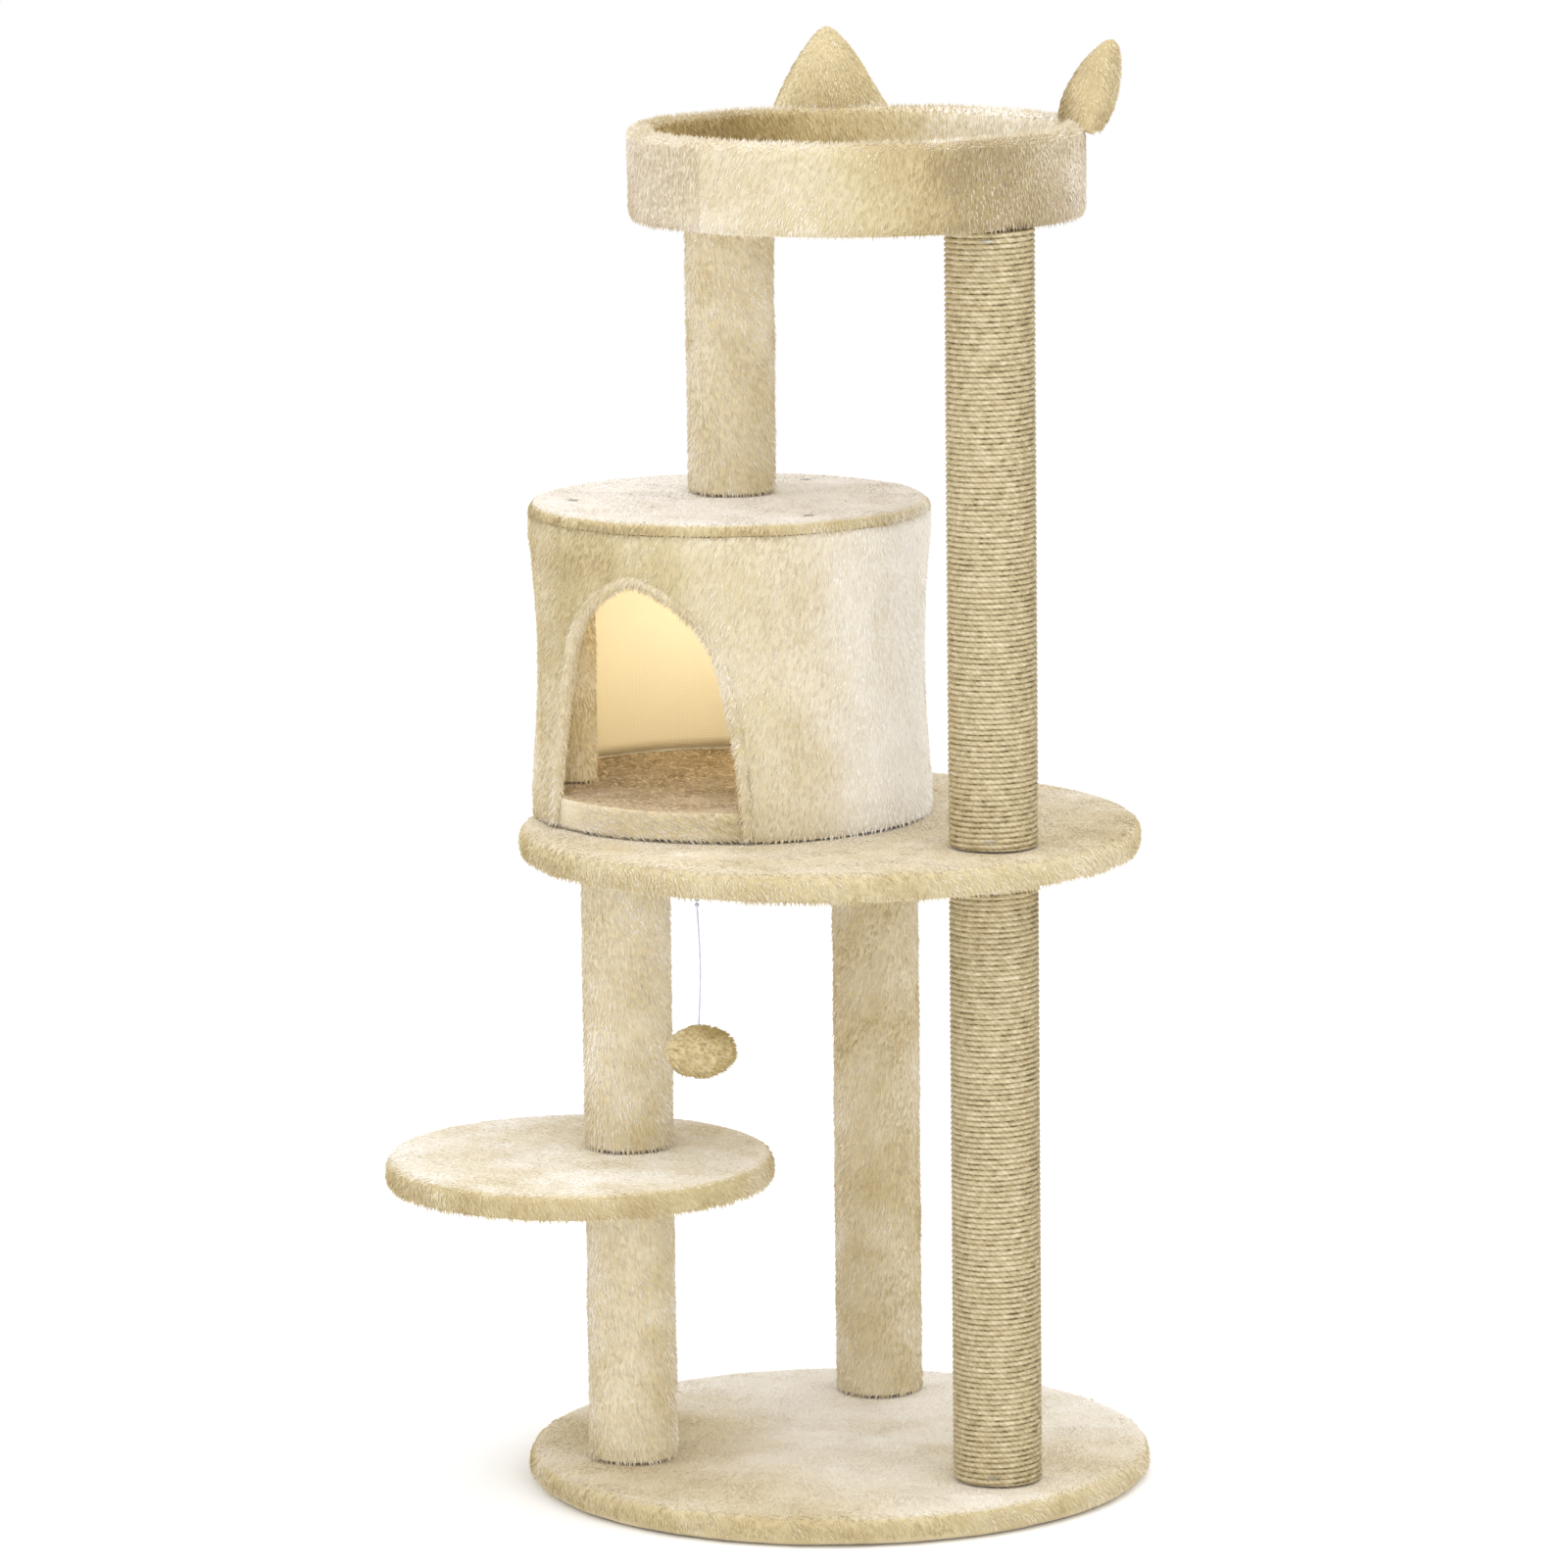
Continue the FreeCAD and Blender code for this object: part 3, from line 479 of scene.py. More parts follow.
def grow(name, skin, where, perMm=0.25, flow=(0, 0, -1), side=0.0, upright=0.34, flutter=0.3, jitter=0.22,
         length=1.0, level=0.35, tint=None, patch=38, seed=1, body="tree", shades=sidePile):
    # tufts on the faces of a skin that where() picks, laid along the nap
    pile = copyOf(skin, name)
    middle, normal = readVectors(pile.data.polygons, "center") / mm, readVectors(pile.data.polygons, "normal")
    storeValues(pile.data, "pile", "FACE", where(middle, normal))
    storeValues(pile.data, "level", "FACE", np.full(len(middle), level) + (tint(middle) if tint else 0))

    tree = bpy.data.node_groups.new("grow_pile", "GeometryNodeTree")
    for way in ("INPUT", "OUTPUT"):
        tree.interface.new_socket("Geometry", in_out=way, socket_type="NodeSocketGeometry")
    start = addNode(tree, "NodeGroupInput").outputs[0]
    often = addMath(tree, "MULTIPLY", addRead(tree, "pile"), perMm * tuft["share"] * 1e6)
    spread = addNode(tree, "GeometryNodeDistributePointsOnFaces", None,
                     {"Mesh": start, "Density": often, "Seed": seed})
    spot = addNode(tree, "GeometryNodeInputPosition").outputs["Position"]
    lean = tuftLean(tree, spread.outputs["Normal"], spot, flow, side, upright, flutter, jitter, patch, seed)
    aim = addNode(tree, "FunctionNodeAlignRotationToVector", {"axis": "Z"}, {"Vector": lean})
    size = addVector(tree, "SCALE", metres(tuft["width"], tuft["width"], tuft["length"] * length),
                     Scale=addRandom(tree, tuft["smallest"], tuft["largest"], seed + 2))
    model = addNode(tree, "GeometryNodeObjectInfo", None, {"Object": tuftModel})
    put = addNode(tree, "GeometryNodeInstanceOnPoints", None,
                  {"Points": spread.outputs["Points"], "Instance": model.outputs["Geometry"],
                   "Rotation": aim.outputs[0], "Scale": size})

    # each tuft takes one of the shades by its tone: noise from patch to patch and tuft to tuft, plus the level,
    # which holds painted light and shade
    broad = addNoise(tree, spot, patch * toneRange["patchSize"], 3.0).outputs["Fac"]
    tone = addMath(tree, "MULTIPLY_ADD", broad, toneRange["patches"], -toneRange["patches"] / 2)
    for part in (addRandom(tree, -toneRange["tufts"], toneRange["tufts"], seed + 3), addRead(tree, "level")):
        tone = addMath(tree, "ADD", tone, part)
    stored = addNode(tree, "GeometryNodeStoreNamedAttribute", {"data_type": "FLOAT", "domain": "INSTANCE"},
                     {"Geometry": put.outputs["Instances"], "Name": "tone", "Value": tone})
    real = addNode(tree, "GeometryNodeRealizeInstances", None, {"Geometry": stored.outputs[0]})
    step = addMath(tree, "MULTIPLY_ADD", addRead(tree, "tone"), toneRange["shades"], toneRange["first"])
    whole = addNode(tree, "FunctionNodeFloatToInt", {"rounding_mode": "FLOOR"}, {0: step})
    shade = addNode(tree, "ShaderNodeClamp", None,
                    {"Value": whole.outputs[0], "Min": 0.0, "Max": toneRange["last"]})
    dyed = addNode(tree, "GeometryNodeSetMaterialIndex", None,
                   {"Geometry": real.outputs[0], "Material Index": shade.outputs[0]})
    addNode(tree, "NodeGroupOutput", None, {0: dyed.outputs[0]})
    applied(pile, "NODES", node_group=tree)
    bpy.data.node_groups.remove(tree)

    for spare in ("pile", "tone", "level", "nap"):
        if spare in pile.data.attributes:
            pile.data.attributes.remove(pile.data.attributes[spare])
    for i, shade in enumerate(shades):
        pile.data.materials[i] = shade
    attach(pile, body)
    print(name, len(pile.data.polygons), "faces")
    return pile


boards = {
    # middle, radius over the cloth, underside height, width folded under
    "base": ((0, 0), 245, 0, 40),
    "perch": ((-142.5, -155), 152, 248.5, 25),
    "main_platform": ((-2, -2), 243, 497, 40),
}
boardCloth = {"thick": 25, "cloth": 4.8, "pile": 2, "round": 10, "lift": 0.4, "edge": 14}


def off(place, middle, radius):
    return np.hypot(place[:, 0] - middle[0], place[:, 1] - middle[1]) > radius


def boardOutline(radius, low, fold, c=boardCloth):
    top, skin, under = low + c["thick"] - c["pile"], radius - c["pile"], low + c["lift"]
    inner, ceiling = radius - c["cloth"], low + c["thick"] - c["cloth"]
    return [
        (0, top, 0), (skin, top, c["round"]), (skin, under, c["round"]), (radius - fold, under, 0),
        (radius - fold, low + c["cloth"], 0), (inner, low + c["cloth"], 0), (inner, ceiling, 0),
        (0, ceiling, 0),
    ]


def paintedShade(*spots):
    # painted shade in soft spots on the board: x, y, width, deeper by
    def tint(place):
        return sum(deeper * np.exp(-((place[:, 0] - x) ** 2 + (place[:, 1] - y) ** 2) / width ** 2)
                   for x, y, width, deeper in spots)

    return tint


boardPile = {
    # what stands on the board and the room it takes, the way the nap lies, and how deep the painted shade on
    # the edge is
    # each board's level is painted light and shade: the base, under the platforms, paler, and the main platform
    # deeper
    "base": dict(
        clear=[(posts["left"], 34), (posts["back"], 34), (posts["scratch"], 33)], flow=(0.5, -0.8, -0.2),
        perMm=0.28, seed=11, edge=0.64, level=-0.02,
        tint=paintedShade((-150, -60, 100, 0.75), (-60, -190, 90, 0.5), (90, -210, 80, 0.5), (210, 20, 110, 0.5))),
    "perch": dict(
        clear=[(posts["left"], 34)], flow=(-0.5, -0.8, -0.2), perMm=0.3, seed=21, edge=0.66, level=0.2),
    "main_platform": dict(
        clear=[(condo, 149), (posts["scratch"], 33)], flow=(0.6, -0.7, -0.2), perMm=0.3, seed=31, edge=0.58,
        level=0.42, tint=paintedShade((250, 60, 90, 0.3))),
}
topLay = {"upright": 0.24, "flutter": 0.16, "jitter": 0.12, "length": 0.85}
edgeLay = {"flow": (0, 0, -0.7), "upright": 0.45, "perMm": 0.34, "tint": None, "side": 0.4, "jitter": 0.25,
           "length": 0.9}


def fade(amount, low, high):
    return np.clip((amount - low) / (high - low), 0, 1)


def flatness(normal, low=0.55, high=0.95):
    # 1 where the skin lies flat, fading to 0 over a rounded edge
    return fade(normal[:, 2], low, high)


def patched(skin, cloth, share, seed=1):
    # the cloth under the pile shows another tone in a share of its faces
    middle, normal = readVectors(skin.data.polygons, "center") / mm, readVectors(skin.data.polygons, "normal")
    chosen = np.random.default_rng(seed).random(len(middle)) < share(middle, normal)
    skin.data.materials.append(cloth)
    skin.data.polygons.foreach_set("material_index", chosen.astype(np.int32))


def napTone(skin, depth, tint=None, edge=None):
    # the same painted light and shade for the cloth as for the pile on it
    place, normal = readVectors(skin.data.vertices, "co") / mm, readVectors(skin.data.vertices, "normal")
    deep = np.full(len(place), float(depth)) + (tint(place) if tint else 0)
    if edge is not None:
        deep = deep * flatness(normal) + edge * (1 - flatness(normal))
    storeValues(skin.data, "nap", "POINT", deep)


def topOf(middle, radius, low, clear):
    def picked(place, normal):
        out = (place[:, 2] > low + boardCloth["edge"]) & (normal[:, 2] > 0.2) & ~off(place, middle, radius)
        for spot, reach in clear:
            out &= off(place, spot, reach)
        return out * flatness(normal)

    return picked


def edgeOf(middle, radius, low, drop):
    def picked(place, normal):
        outer = off(place, middle, radius - boardCloth["edge"]) & (place[:, 2] > low + drop)
        return outer * (1 - flatness(normal))

    return picked


for name, (middle, radius, low, fold) in boards.items():
    skin = turned(name + "_plush", middle, boardOutline(radius, low, fold))
    relief(skin, 26, 1.1)
    dress(skin, sideCloth, "tree", [name + "_plush_cover"])
    look = dict(boardPile[name])
    clear, edge = look.pop("clear"), look.pop("edge")
    # the board's level, its spots and its deeper edge are painted light and shade, the same on cloth and pile
    napTone(skin, look["level"], look.get("tint"), edge)
    grow(name + "_top_pile", skin, topOf(middle, radius, low, clear), **topLay, **look)
    # on the floor the tufts start higher, so that none reaches under it
    drop = 7 if low == 0 else 1.5
    look.update(edgeLay, level=edge)
    grow(name + "_edge_pile", skin, edgeOf(middle, radius, low, drop), **look)
print("boards")


def sleeveOutline(outer, inner, low, high, soft):
    return [(outer, low, soft), (outer, high, soft), (inner, high, 0), (inner, low, 0)]


def sleeve(name, middle, outer, inner, low, high, replaced, seed, perMm=0.25, soft=3, steps=72, **look):
    skin = turned(name + "_plush", middle, sleeveOutline(outer, inner, low, high, soft), steps=steps, longest=6)
    relief(skin, 34, 1.3)
    dress(skin, plushCloth, "tree", [replaced])

    def outside(place, normal):
        return off(place, middle, (outer + inner) / 2) & (np.abs(normal[:, 2]) < 0.95)

    grow(name + "_pile", skin, outside, perMm=perMm, seed=seed, **look)


postCloth = {"outer": 33.6, "inner": 30.2, "gap": 0.2}
postNap = {
    # spot, underside, top, sideways lean of the nap, how deep its shade is
    "left_lower_post": ("left", 25, 248.5, 0.25, 0.3),
    "left_upper_post": ("left", 273.5, 497, 0.2, 0.3),
    "back_post": ("back", 25, 497, -0.25, 0.42),
    "bed_post": ("bed", 770.5, 994, 0.2, 0.34),
}
for i, (name, (spot, low, high, side, depth)) in enumerate(postNap.items()):
    sleeve(name, posts[spot], postCloth["outer"], postCloth["inner"], low + postCloth["gap"],
           high - postCloth["gap"], name + "_plush_sleeve", 40 + 10 * i, side=side, level=depth, patch=30)

supports = {"back": (-91.2, 123.8), "left": (-196.9, -59.2), "right": (14.5, -59.2)}
supportCloth = {"outer": 15.4, "inner": 12.2, "low": 547.2, "high": 745.3}
for i, (side, spot) in enumerate(supports.items()):
    sleeve(side + "_support", spot, **supportCloth, replaced=side + "_support_plush_sleeve", seed=90 + 5 * i,
           perMm=0.22, soft=2, steps=40, level=0.5)
print("posts and supports")

room = {"radius": 157.5, "low": 522, "waistLow": 547, "waistHigh": 745.5, "waist": 5, "ring": 9}
wallCloth = {"outer": 155.7, "inner": 153.7, "low": 522.3, "high": 758.3}
liningCloth = {"outer": 153.45, "inner": 152.3, "low": 547.3, "high": 745.3}
door = {"half": 90, "shoulder": 64.5, "shoulderRise": 146, "rise": 198, "legBulge": 5.2, "topBulge": 9.5,
        "cutFrom": 60, "cutDeep": 180, "below": 5}


def archPoints(inset=0.0, every=8):
    # the doorway's outline from the left foot over the top to the right foot, as (x, z) from the sill's middle
    half, shoulder = door["half"] - inset, door["shoulder"] - inset
    corners = [(half, 0), (shoulder, door["shoulderRise"] - inset / 2), (0, door["rise"] - inset * 1.25)]
    right = []
    for (a, b), bulge in zip(zip(corners, corners[1:]), (door["legBulge"], door["topBulge"])):
        a, b = Vector(a), Vector(b)
        out = Vector((b.y - a.y, a.x - b.x)).normalized()
        right += [a.lerp(b, k / every) + out * bulge * 4 * (k / every) * (1 - k / every) for k in range(every)]
    right.append(Vector(corners[-1]))
    return [Vector((-p.x, p.y)) for p in right] + list(reversed(right[:-1]))


def drawnIn(radius, z):
    t = (z - room["waistLow"]) / (room["waistHigh"] - room["waistLow"])
    return radius - (room["waist"] * 4 * t * (1 - t) if 0 < t < 1 else 0)


def wallOutline(outer, inner, low, high):
    rings = range(room["waistLow"], math.ceil(room["waistHigh"]), room["ring"])
    heights = [low, *(z for z in rings if low + 1 < z < high - 1), high]
    return [(drawnIn(outer, z), z, 0) for z in heights] + [
        (drawnIn(inner, z), z, 0) for z in reversed(heights)]


def doorCutter(inset=0.0):
    # the arch as a face, pushed out through the wall
    points = []
    for p in archPoints(inset):
        z = room["low"] - door["below"] + p.y + (door["below"] if p.y > 0 else 0)
        points.append(Vector((condo[0] + p.x, condo[1] - door["cutFrom"], z)) * mm)
    obj = drawn("door_cutter", points)
    bpy.ops.mesh.edge_face_add()
    bpy.ops.mesh.extrude_region_move(TRANSFORM_OT_translate={"value": metres(0, -door["cutDeep"], 0)})
    bpy.ops.mesh.select_all(action="SELECT")
    bpy.ops.mesh.normals_make_consistent(inside=False)
    bpy.ops.object.mode_set(mode="OBJECT")
    return obj


def openDoor(wall, inset=0.0):
    cutter = doorCutter(inset)
    applied(wall, "BOOLEAN", object=cutter, operation="DIFFERENCE", solver="EXACT")
    bpy.data.objects.remove(cutter)
    return wall


wall = turned("condo_wall_plush", condo, wallOutline(**wallCloth), steps=160)
relief(openDoor(wall), 42, 2.0)
dress(wall, sideCloth, "tree", ["condo_plush_wall"])


def offDoor(place, margin):
    # outside the doorway's outline by this much
    x, z = np.abs(place[:, 0] - condo[0]), place[:, 2] - room["low"]
    outline = np.array([(p.y, p.x) for p in archPoints(-margin) if p.x >= 0])[::-1]
    order = np.argsort(outline[:, 0])
    reach = np.interp(z, outline[order, 0], outline[order, 1], right=-1)
    return (x > reach) | (place[:, 1] > condo[1])


def outsideWall(place, normal):
    x, y = place[:, 0] - condo[0], place[:, 1] - condo[1]
    return (normal[:, 0] * x + normal[:, 1] * y > 90) & offDoor(place, 0)


def wallLight(place):
    # painted sheen, paler round the right side
    turn = np.degrees(np.arctan2(place[:, 1] - condo[1], place[:, 0] - condo[0]))
    deeper = np.interp(turn, [-180, -150, -110, -40, 0, 120, 180], [0.0, 0.2, 0.25, 0.0, -0.5, -0.2, 0.0])
    # and painted shade, deeper in a band under the roof, round the left front
    return deeper + 0.15 * np.exp(-((place[:, 2] - 733) / 17) ** 2) * fade(-turn, 55, 85)


napTone(wall, 0.35, wallLight)
wallPile = grow("condo_wall_pile", wall, outsideWall, perMm=0.235, side=-0.35, seed=110, patch=60,
                tint=wallLight)

lining = turned("condo_scrim", condo, wallOutline(**liningCloth), steps=120)
openDoor(lining, 1)
dress(lining, scrim, "tree", ["condo_scrim_lining"])


# the rolled hem round the doorway
hem = {"radius": 4.2, "inset": 4.2, "apexInset": -3.5, "lift": 3, "squash": 0.985}
path = []
for low, high in zip(archPoints(hem["inset"]), archPoints(hem["apexInset"])):
    p = low.lerp(high, (low.y / door["rise"]) ** 2)
    across = drawnIn(room["radius"], room["low"] + p.y) - hem["radius"]
    path.append((condo[0] + p.x, condo[1] - math.sqrt(across ** 2 - p.x ** 2),
                 room["low"] + hem["lift"] + p.y * hem["squash"]))
active(tube("doorway_hem_roll", path, hem["radius"], 3, 4))
bpy.ops.object.convert(target="MESH")
hemRoll = bpy.context.active_object
bpy.ops.object.transform_apply(location=True, rotation=True, scale=True)
bpy.ops.object.mode_set(mode="EDIT")
bpy.ops.mesh.select_all(action="SELECT")
bpy.ops.mesh.remove_doubles(threshold=0.02 * mm)
bpy.ops.mesh.normals_make_consistent(inside=False)
bpy.ops.object.mode_set(mode="OBJECT")
bpy.ops.object.shade_smooth()
relief(hemRoll, 12, 1.2)
dress(hemRoll, plushCloth, "tree", ["doorway_hem"])


def everywhere(place, normal):
    return place[:, 2] > 0


hemPile = grow("doorway_hem_pile", hemRoll, everywhere, perMm=0.4, flow=(0, -0.2, -0.8), side=-0.3,
               upright=0.5, jitter=0.3, level=0.4, seed=120)

# floor, its plush edge is the sill
floorSize = {"outer": 152.1, "inner": 147.2, "folded": 139, "low": 522.4, "fold": 526.8, "under": 542.2,
             "top": 545.2}
floorBoard = turned("condo_floor_plush", condo, [
    (0, floorSize["top"], 0), (floorSize["outer"], floorSize["top"], 4),
    (floorSize["outer"], floorSize["low"], 3),
    (floorSize["folded"], floorSize["low"], 0), (floorSize["folded"], floorSize["fold"], 0),
    (floorSize["inner"], floorSize["fold"], 0), (floorSize["inner"], floorSize["under"], 0),
    (0, floorSize["under"], 0)])
relief(floorBoard, 30, 1.0)
dress(floorBoard, floorCloth, "tree", ["condo_floor_plush_cover"])
# the rounded edge keeps the plain plush; the painted shade is on the floor inside
patched(floorBoard, plushCloth, lambda place, normal: 1 - flatness(normal, 0.7, 0.9))


def sill(place, normal):
    front = off(place, condo, 150.5) & (place[:, 1] < condo[1] - 90)
    return front & (normal[:, 2] < 0.9) & (place[:, 2] > 522.5)


def indoors(place, normal):
    clear = (normal[:, 2] > 0.1) & (place[:, 2] > 540)
    for spot in supports.values():
        clear &= off(place, spot, 15)
    return clear & ~sill(place, normal)


grow("condo_floor_pile", floorBoard, indoors, perMm=0.22, flow=(1, -0.25, -0.1), upright=0.25, seed=130,
     shades=floorPile, patch=30)
grow("doorway_sill_pile", floorBoard, sill, perMm=0.35, flow=(0.9, 0, -0.3), jitter=0.15, seed=140, level=0.35)

roofSize = {"outer": 155.8, "foot": 155.6, "inner": 152.8, "low": 758.8, "under": 765.4, "top": 768.4}
roof = turned("condo_roof_plush", condo, [
    (0, roofSize["top"], 0), (roofSize["outer"], roofSize["top"], 8), (roofSize["foot"], roofSize["low"], 1.5),
    (roofSize["inner"], roofSize["low"], 0), (roofSize["inner"], roofSize["under"], 0),
    (0, roofSize["under"], 0)])
relief(roof, 30, 1.3)
dimples = {"radius": 9, "depth": 2.6, "above": 0.766}
for vertex in roof.data.vertices:
    for spot in supports.values():
        away = math.hypot(vertex.co.x / mm - spot[0], vertex.co.y / mm - spot[1]) / dimples["radius"]
        if away < 1 and vertex.co.z > dimples["above"]:
            vertex.co.z -= dimples["depth"] * mm * (1 - away ** 2) ** 2
dress(roof, sideCloth, "tree", ["condo_roof_plush_cover"])
# painted shade: the roof's rounded band, cloth and pile, is deeper than its top
napTone(roof, 0.0, None, 0.68)


def roofTop(place, normal):
    clear = (normal[:, 2] > 0.3) | off(place, condo, 154)
    clear &= (place[:, 2] > 759) & off(place, posts["bed"], 33.5)
    for spot in supports.values():
        clear &= off(place, spot, 1.5)
    return clear * flatness(normal, 0.7, 0.97)


def roofBand(place, normal):
    return (off(place, condo, 148) & (place[:, 2] > roofSize["low"])) * (1 - flatness(normal, 0.7, 0.97))


grow("condo_roof_top_pile", roof, roofTop, perMm=0.3, flow=(0.5, -0.8, -0.2), seed=150, level=0.0,
     shades=topPile, **topLay)
grow("condo_roof_band_pile", roof, roofBand, perMm=0.34, flow=(0, 0, -1), side=-0.2, upright=0.5, seed=155,
     level=0.68, tint=wallLight)
print("condo")

bedSize = {"outer": 174.5, "bowl": 158.5, "low": 994.3, "top": 1064.6, "floor": 1017.2, "seam": -103.4,
           "rear": 76.6, "seamWide": 3.0, "seamDeep": 1.4, "inOut": 166}
hoop = {"inner": 161.3, "outer": 171.7, "top": 1061.7, "low": 998.8, "foot": 1018.9, "folded": 162}
rim = turned("bed_rim_plush", bed, [
    (hoop["folded"], bedSize["low"], 0), (bedSize["outer"], bedSize["low"], 12),
    (bedSize["outer"], bedSize["top"], 9), (bedSize["bowl"], bedSize["top"], 7),
    (bedSize["bowl"], hoop["foot"], 0), (hoop["inner"], hoop["foot"], 0), (hoop["inner"], hoop["top"], 0),
    (hoop["outer"], hoop["top"], 0), (hoop["outer"], hoop["low"], 0), (hoop["folded"], hoop["low"], 0),
], steps=180, longest=6)
relief(rim, 48, 2.0)
# the seam pulls the outer cloth in
seamTurn = math.radians(bedSize["seam"])
for vertex in rim.data.vertices:
    x, y = vertex.co.x / mm - bed[0], vertex.co.y / mm - bed[1]
    turn = math.atan2(y, x)
    away = abs(math.remainder(turn - seamTurn, math.tau)) * bedSize["outer"] / bedSize["seamWide"]
    if away < 1 and math.hypot(x, y) > 172.5:
        vertex.co.x -= math.cos(turn) * bedSize["seamDeep"] * mm * (1 - away)
        vertex.co.y -= math.sin(turn) * bedSize["seamDeep"] * mm * (1 - away)
dress(rim, sideCloth, "tree", ["bed_rim_plush_cover"])


def rimAngle(place):
    return np.degrees(np.arctan2(place[:, 1] - bed[1], place[:, 0] - bed[0]))


def rimOutside(place, normal):
    # outside, but for the seam
    away = np.abs(rimAngle(place) - bedSize["seam"]) * math.radians(bedSize["outer"])
    outer = off(place, bed, bedSize["inOut"]) & (normal[:, 2] > -0.8) & (place[:, 2] > bedSize["low"] + 1.5)
    return outer & (away > 1.2)


def rightOfSeam(place, normal):
    turn = rimAngle(place)
    return rimOutside(place, normal) & (turn > bedSize["seam"]) & (turn < bedSize["rear"])


def leftOfSeam(place, normal):
    turn = rimAngle(place)
    return rimOutside(place, normal) & ((turn < bedSize["seam"]) | (turn > bedSize["rear"]))


def rimInside(place, normal):
    inner = ~off(place, bed, bedSize["inOut"]) & (place[:, 2] > 1018)
    return inner & ((normal[:, 2] > 0.2) | ~off(place, bed, 160))


def greyer(place):
    # round to the right the pile takes the paler, greyer shades: painted sheen
    return fade(rimAngle(place), -42, -8)


def rimLight(place):
    # painted shade, deeper round to the right, where the nap turns away from the light
    turns, depths = [-104, -75, -50, -22, 10, 90, 170], [0.0, 0.08, 0.42, 0.78, 0.6, 0.35, 0.0]
    return np.interp(rimAngle(place), turns, depths)


def bowlLight(place):
    # painted shade in the bowl, deepest on its left
    turns, depths = [0, 60, 100, 150, 190, 260, 360], [-0.4, -0.8, -0.15, 0.5, 0.4, 0.0, -0.4]
    return np.interp(rimAngle(place) % 360, turns, depths)


def bothSides(place):
    return np.where(off(place, bed, bedSize["inOut"]), rimLight(place), bowlLight(place) + 0.1)


# painted light and shade round the rim and in the bowl
napTone(rim, 0.3, bothSides)
rimPile = dict(perMm=0.3, flutter=0.2, jitter=0.13, length=0.85, patch=55)
# the rim's piles: painted shade, deeper round to the right, and painted sheen in the paler shades round the
# right side and back
grow("bed_rim_pile_front", rim, lambda place, normal: rightOfSeam(place, normal) * (1 - greyer(place)),
     side=-0.3, seed=160, level=0.3, tint=rimLight, **rimPile)
grow("bed_rim_pile_right", rim, lambda place, normal: rightOfSeam(place, normal) * greyer(place),
     side=-0.2, seed=165, level=0.2, tint=rimLight, shades=topPile, **rimPile)
grow("bed_rim_pile_back", rim, leftOfSeam, side=0.2, seed=170, level=0.75, shades=topPile, **rimPile)
grow("bed_rim_edge_pile", rim, lambda place, normal: (normal[:, 2] > 0.35) & (place[:, 2] > 1055),
     perMm=0.3, flow=(0.2, -0.3, 0), upright=0.8, jitter=0.45, length=0.8, seed=175, level=0.25)
grow("bed_bowl_pile", rim, rimInside, perMm=0.29, side=0.3, upright=0.5, seed=180, level=0.35, tint=bowlLight,
     shades=goldPile)

bedCloth = {"radius": 161.2, "low": 1014.2, "underRadius": 161.9, "underTop": 998.8, "underLow": 994.4}
bedFloor = turned("bed_floor_cloth", bed, [
    (0, bedSize["floor"], 0), (bedCloth["radius"], bedSize["floor"], 2),
    (bedCloth["radius"], bedCloth["low"], 0), (0, bedCloth["low"], 0)])
relief(bedFloor, 30, 1.0)
dress(bedFloor, plushCloth, "tree", ["bed_floor_plush"])
grow("bed_floor_pile", bedFloor,
     lambda place, normal: (normal[:, 2] > 0.5) & ~off(place, bed, bedSize["bowl"]),
     perMm=0.2, flow=(0.6, -0.6, -0.2), seed=190, shades=goldPile)
bedUnder = turned("bed_underside_cloth", bed, [
    (0, bedCloth["underTop"], 0), (bedCloth["underRadius"], bedCloth["underTop"], 0),
    (bedCloth["underRadius"], bedCloth["underLow"], 0), (0, bedCloth["underLow"], 0)], longest=14)
relief(bedUnder, 30, 0.6)
dress(bedUnder, plushCloth, "tree", ["bed_underside_plush"])
print("bed")


def stuffed(name, node, voxel, rounds):
    # a stuffed piece from its block, remeshed and smoothed
    piece = copyOf(nodes[node], name)
    piece.parent = None
    piece.matrix_world = Matrix()
    piece.modifiers.clear()
    active(piece)
    bpy.ops.object.mode_set(mode="EDIT")
    bpy.ops.mesh.select_all(action="SELECT")
    bpy.ops.mesh.remove_doubles(threshold=0.02 * mm)
    bpy.ops.object.mode_set(mode="OBJECT")
    applied(piece, "REMESH", mode="VOXEL", voxel_size=voxel * mm)
    applied(piece, "SMOOTH", factor=0.5, iterations=rounds)
    applied(piece, "SUBSURF", levels=1, render_levels=1)
    active(piece)
    bpy.ops.object.shade_smooth()
    piece.hide_render = False
    piece.hide_viewport = False
    return piece


ear = {"half": 48, "rise": 73, "thick": 21, "lean": 23, "reach": 171.5, "low": 1058.5, "cells": 26}
# how deep each ear is painted: painted shade, the right ear deeper
earShade = {"left": 0.62, "right": 0.78}
earTurn = {"left": 125.5, "right": 37}


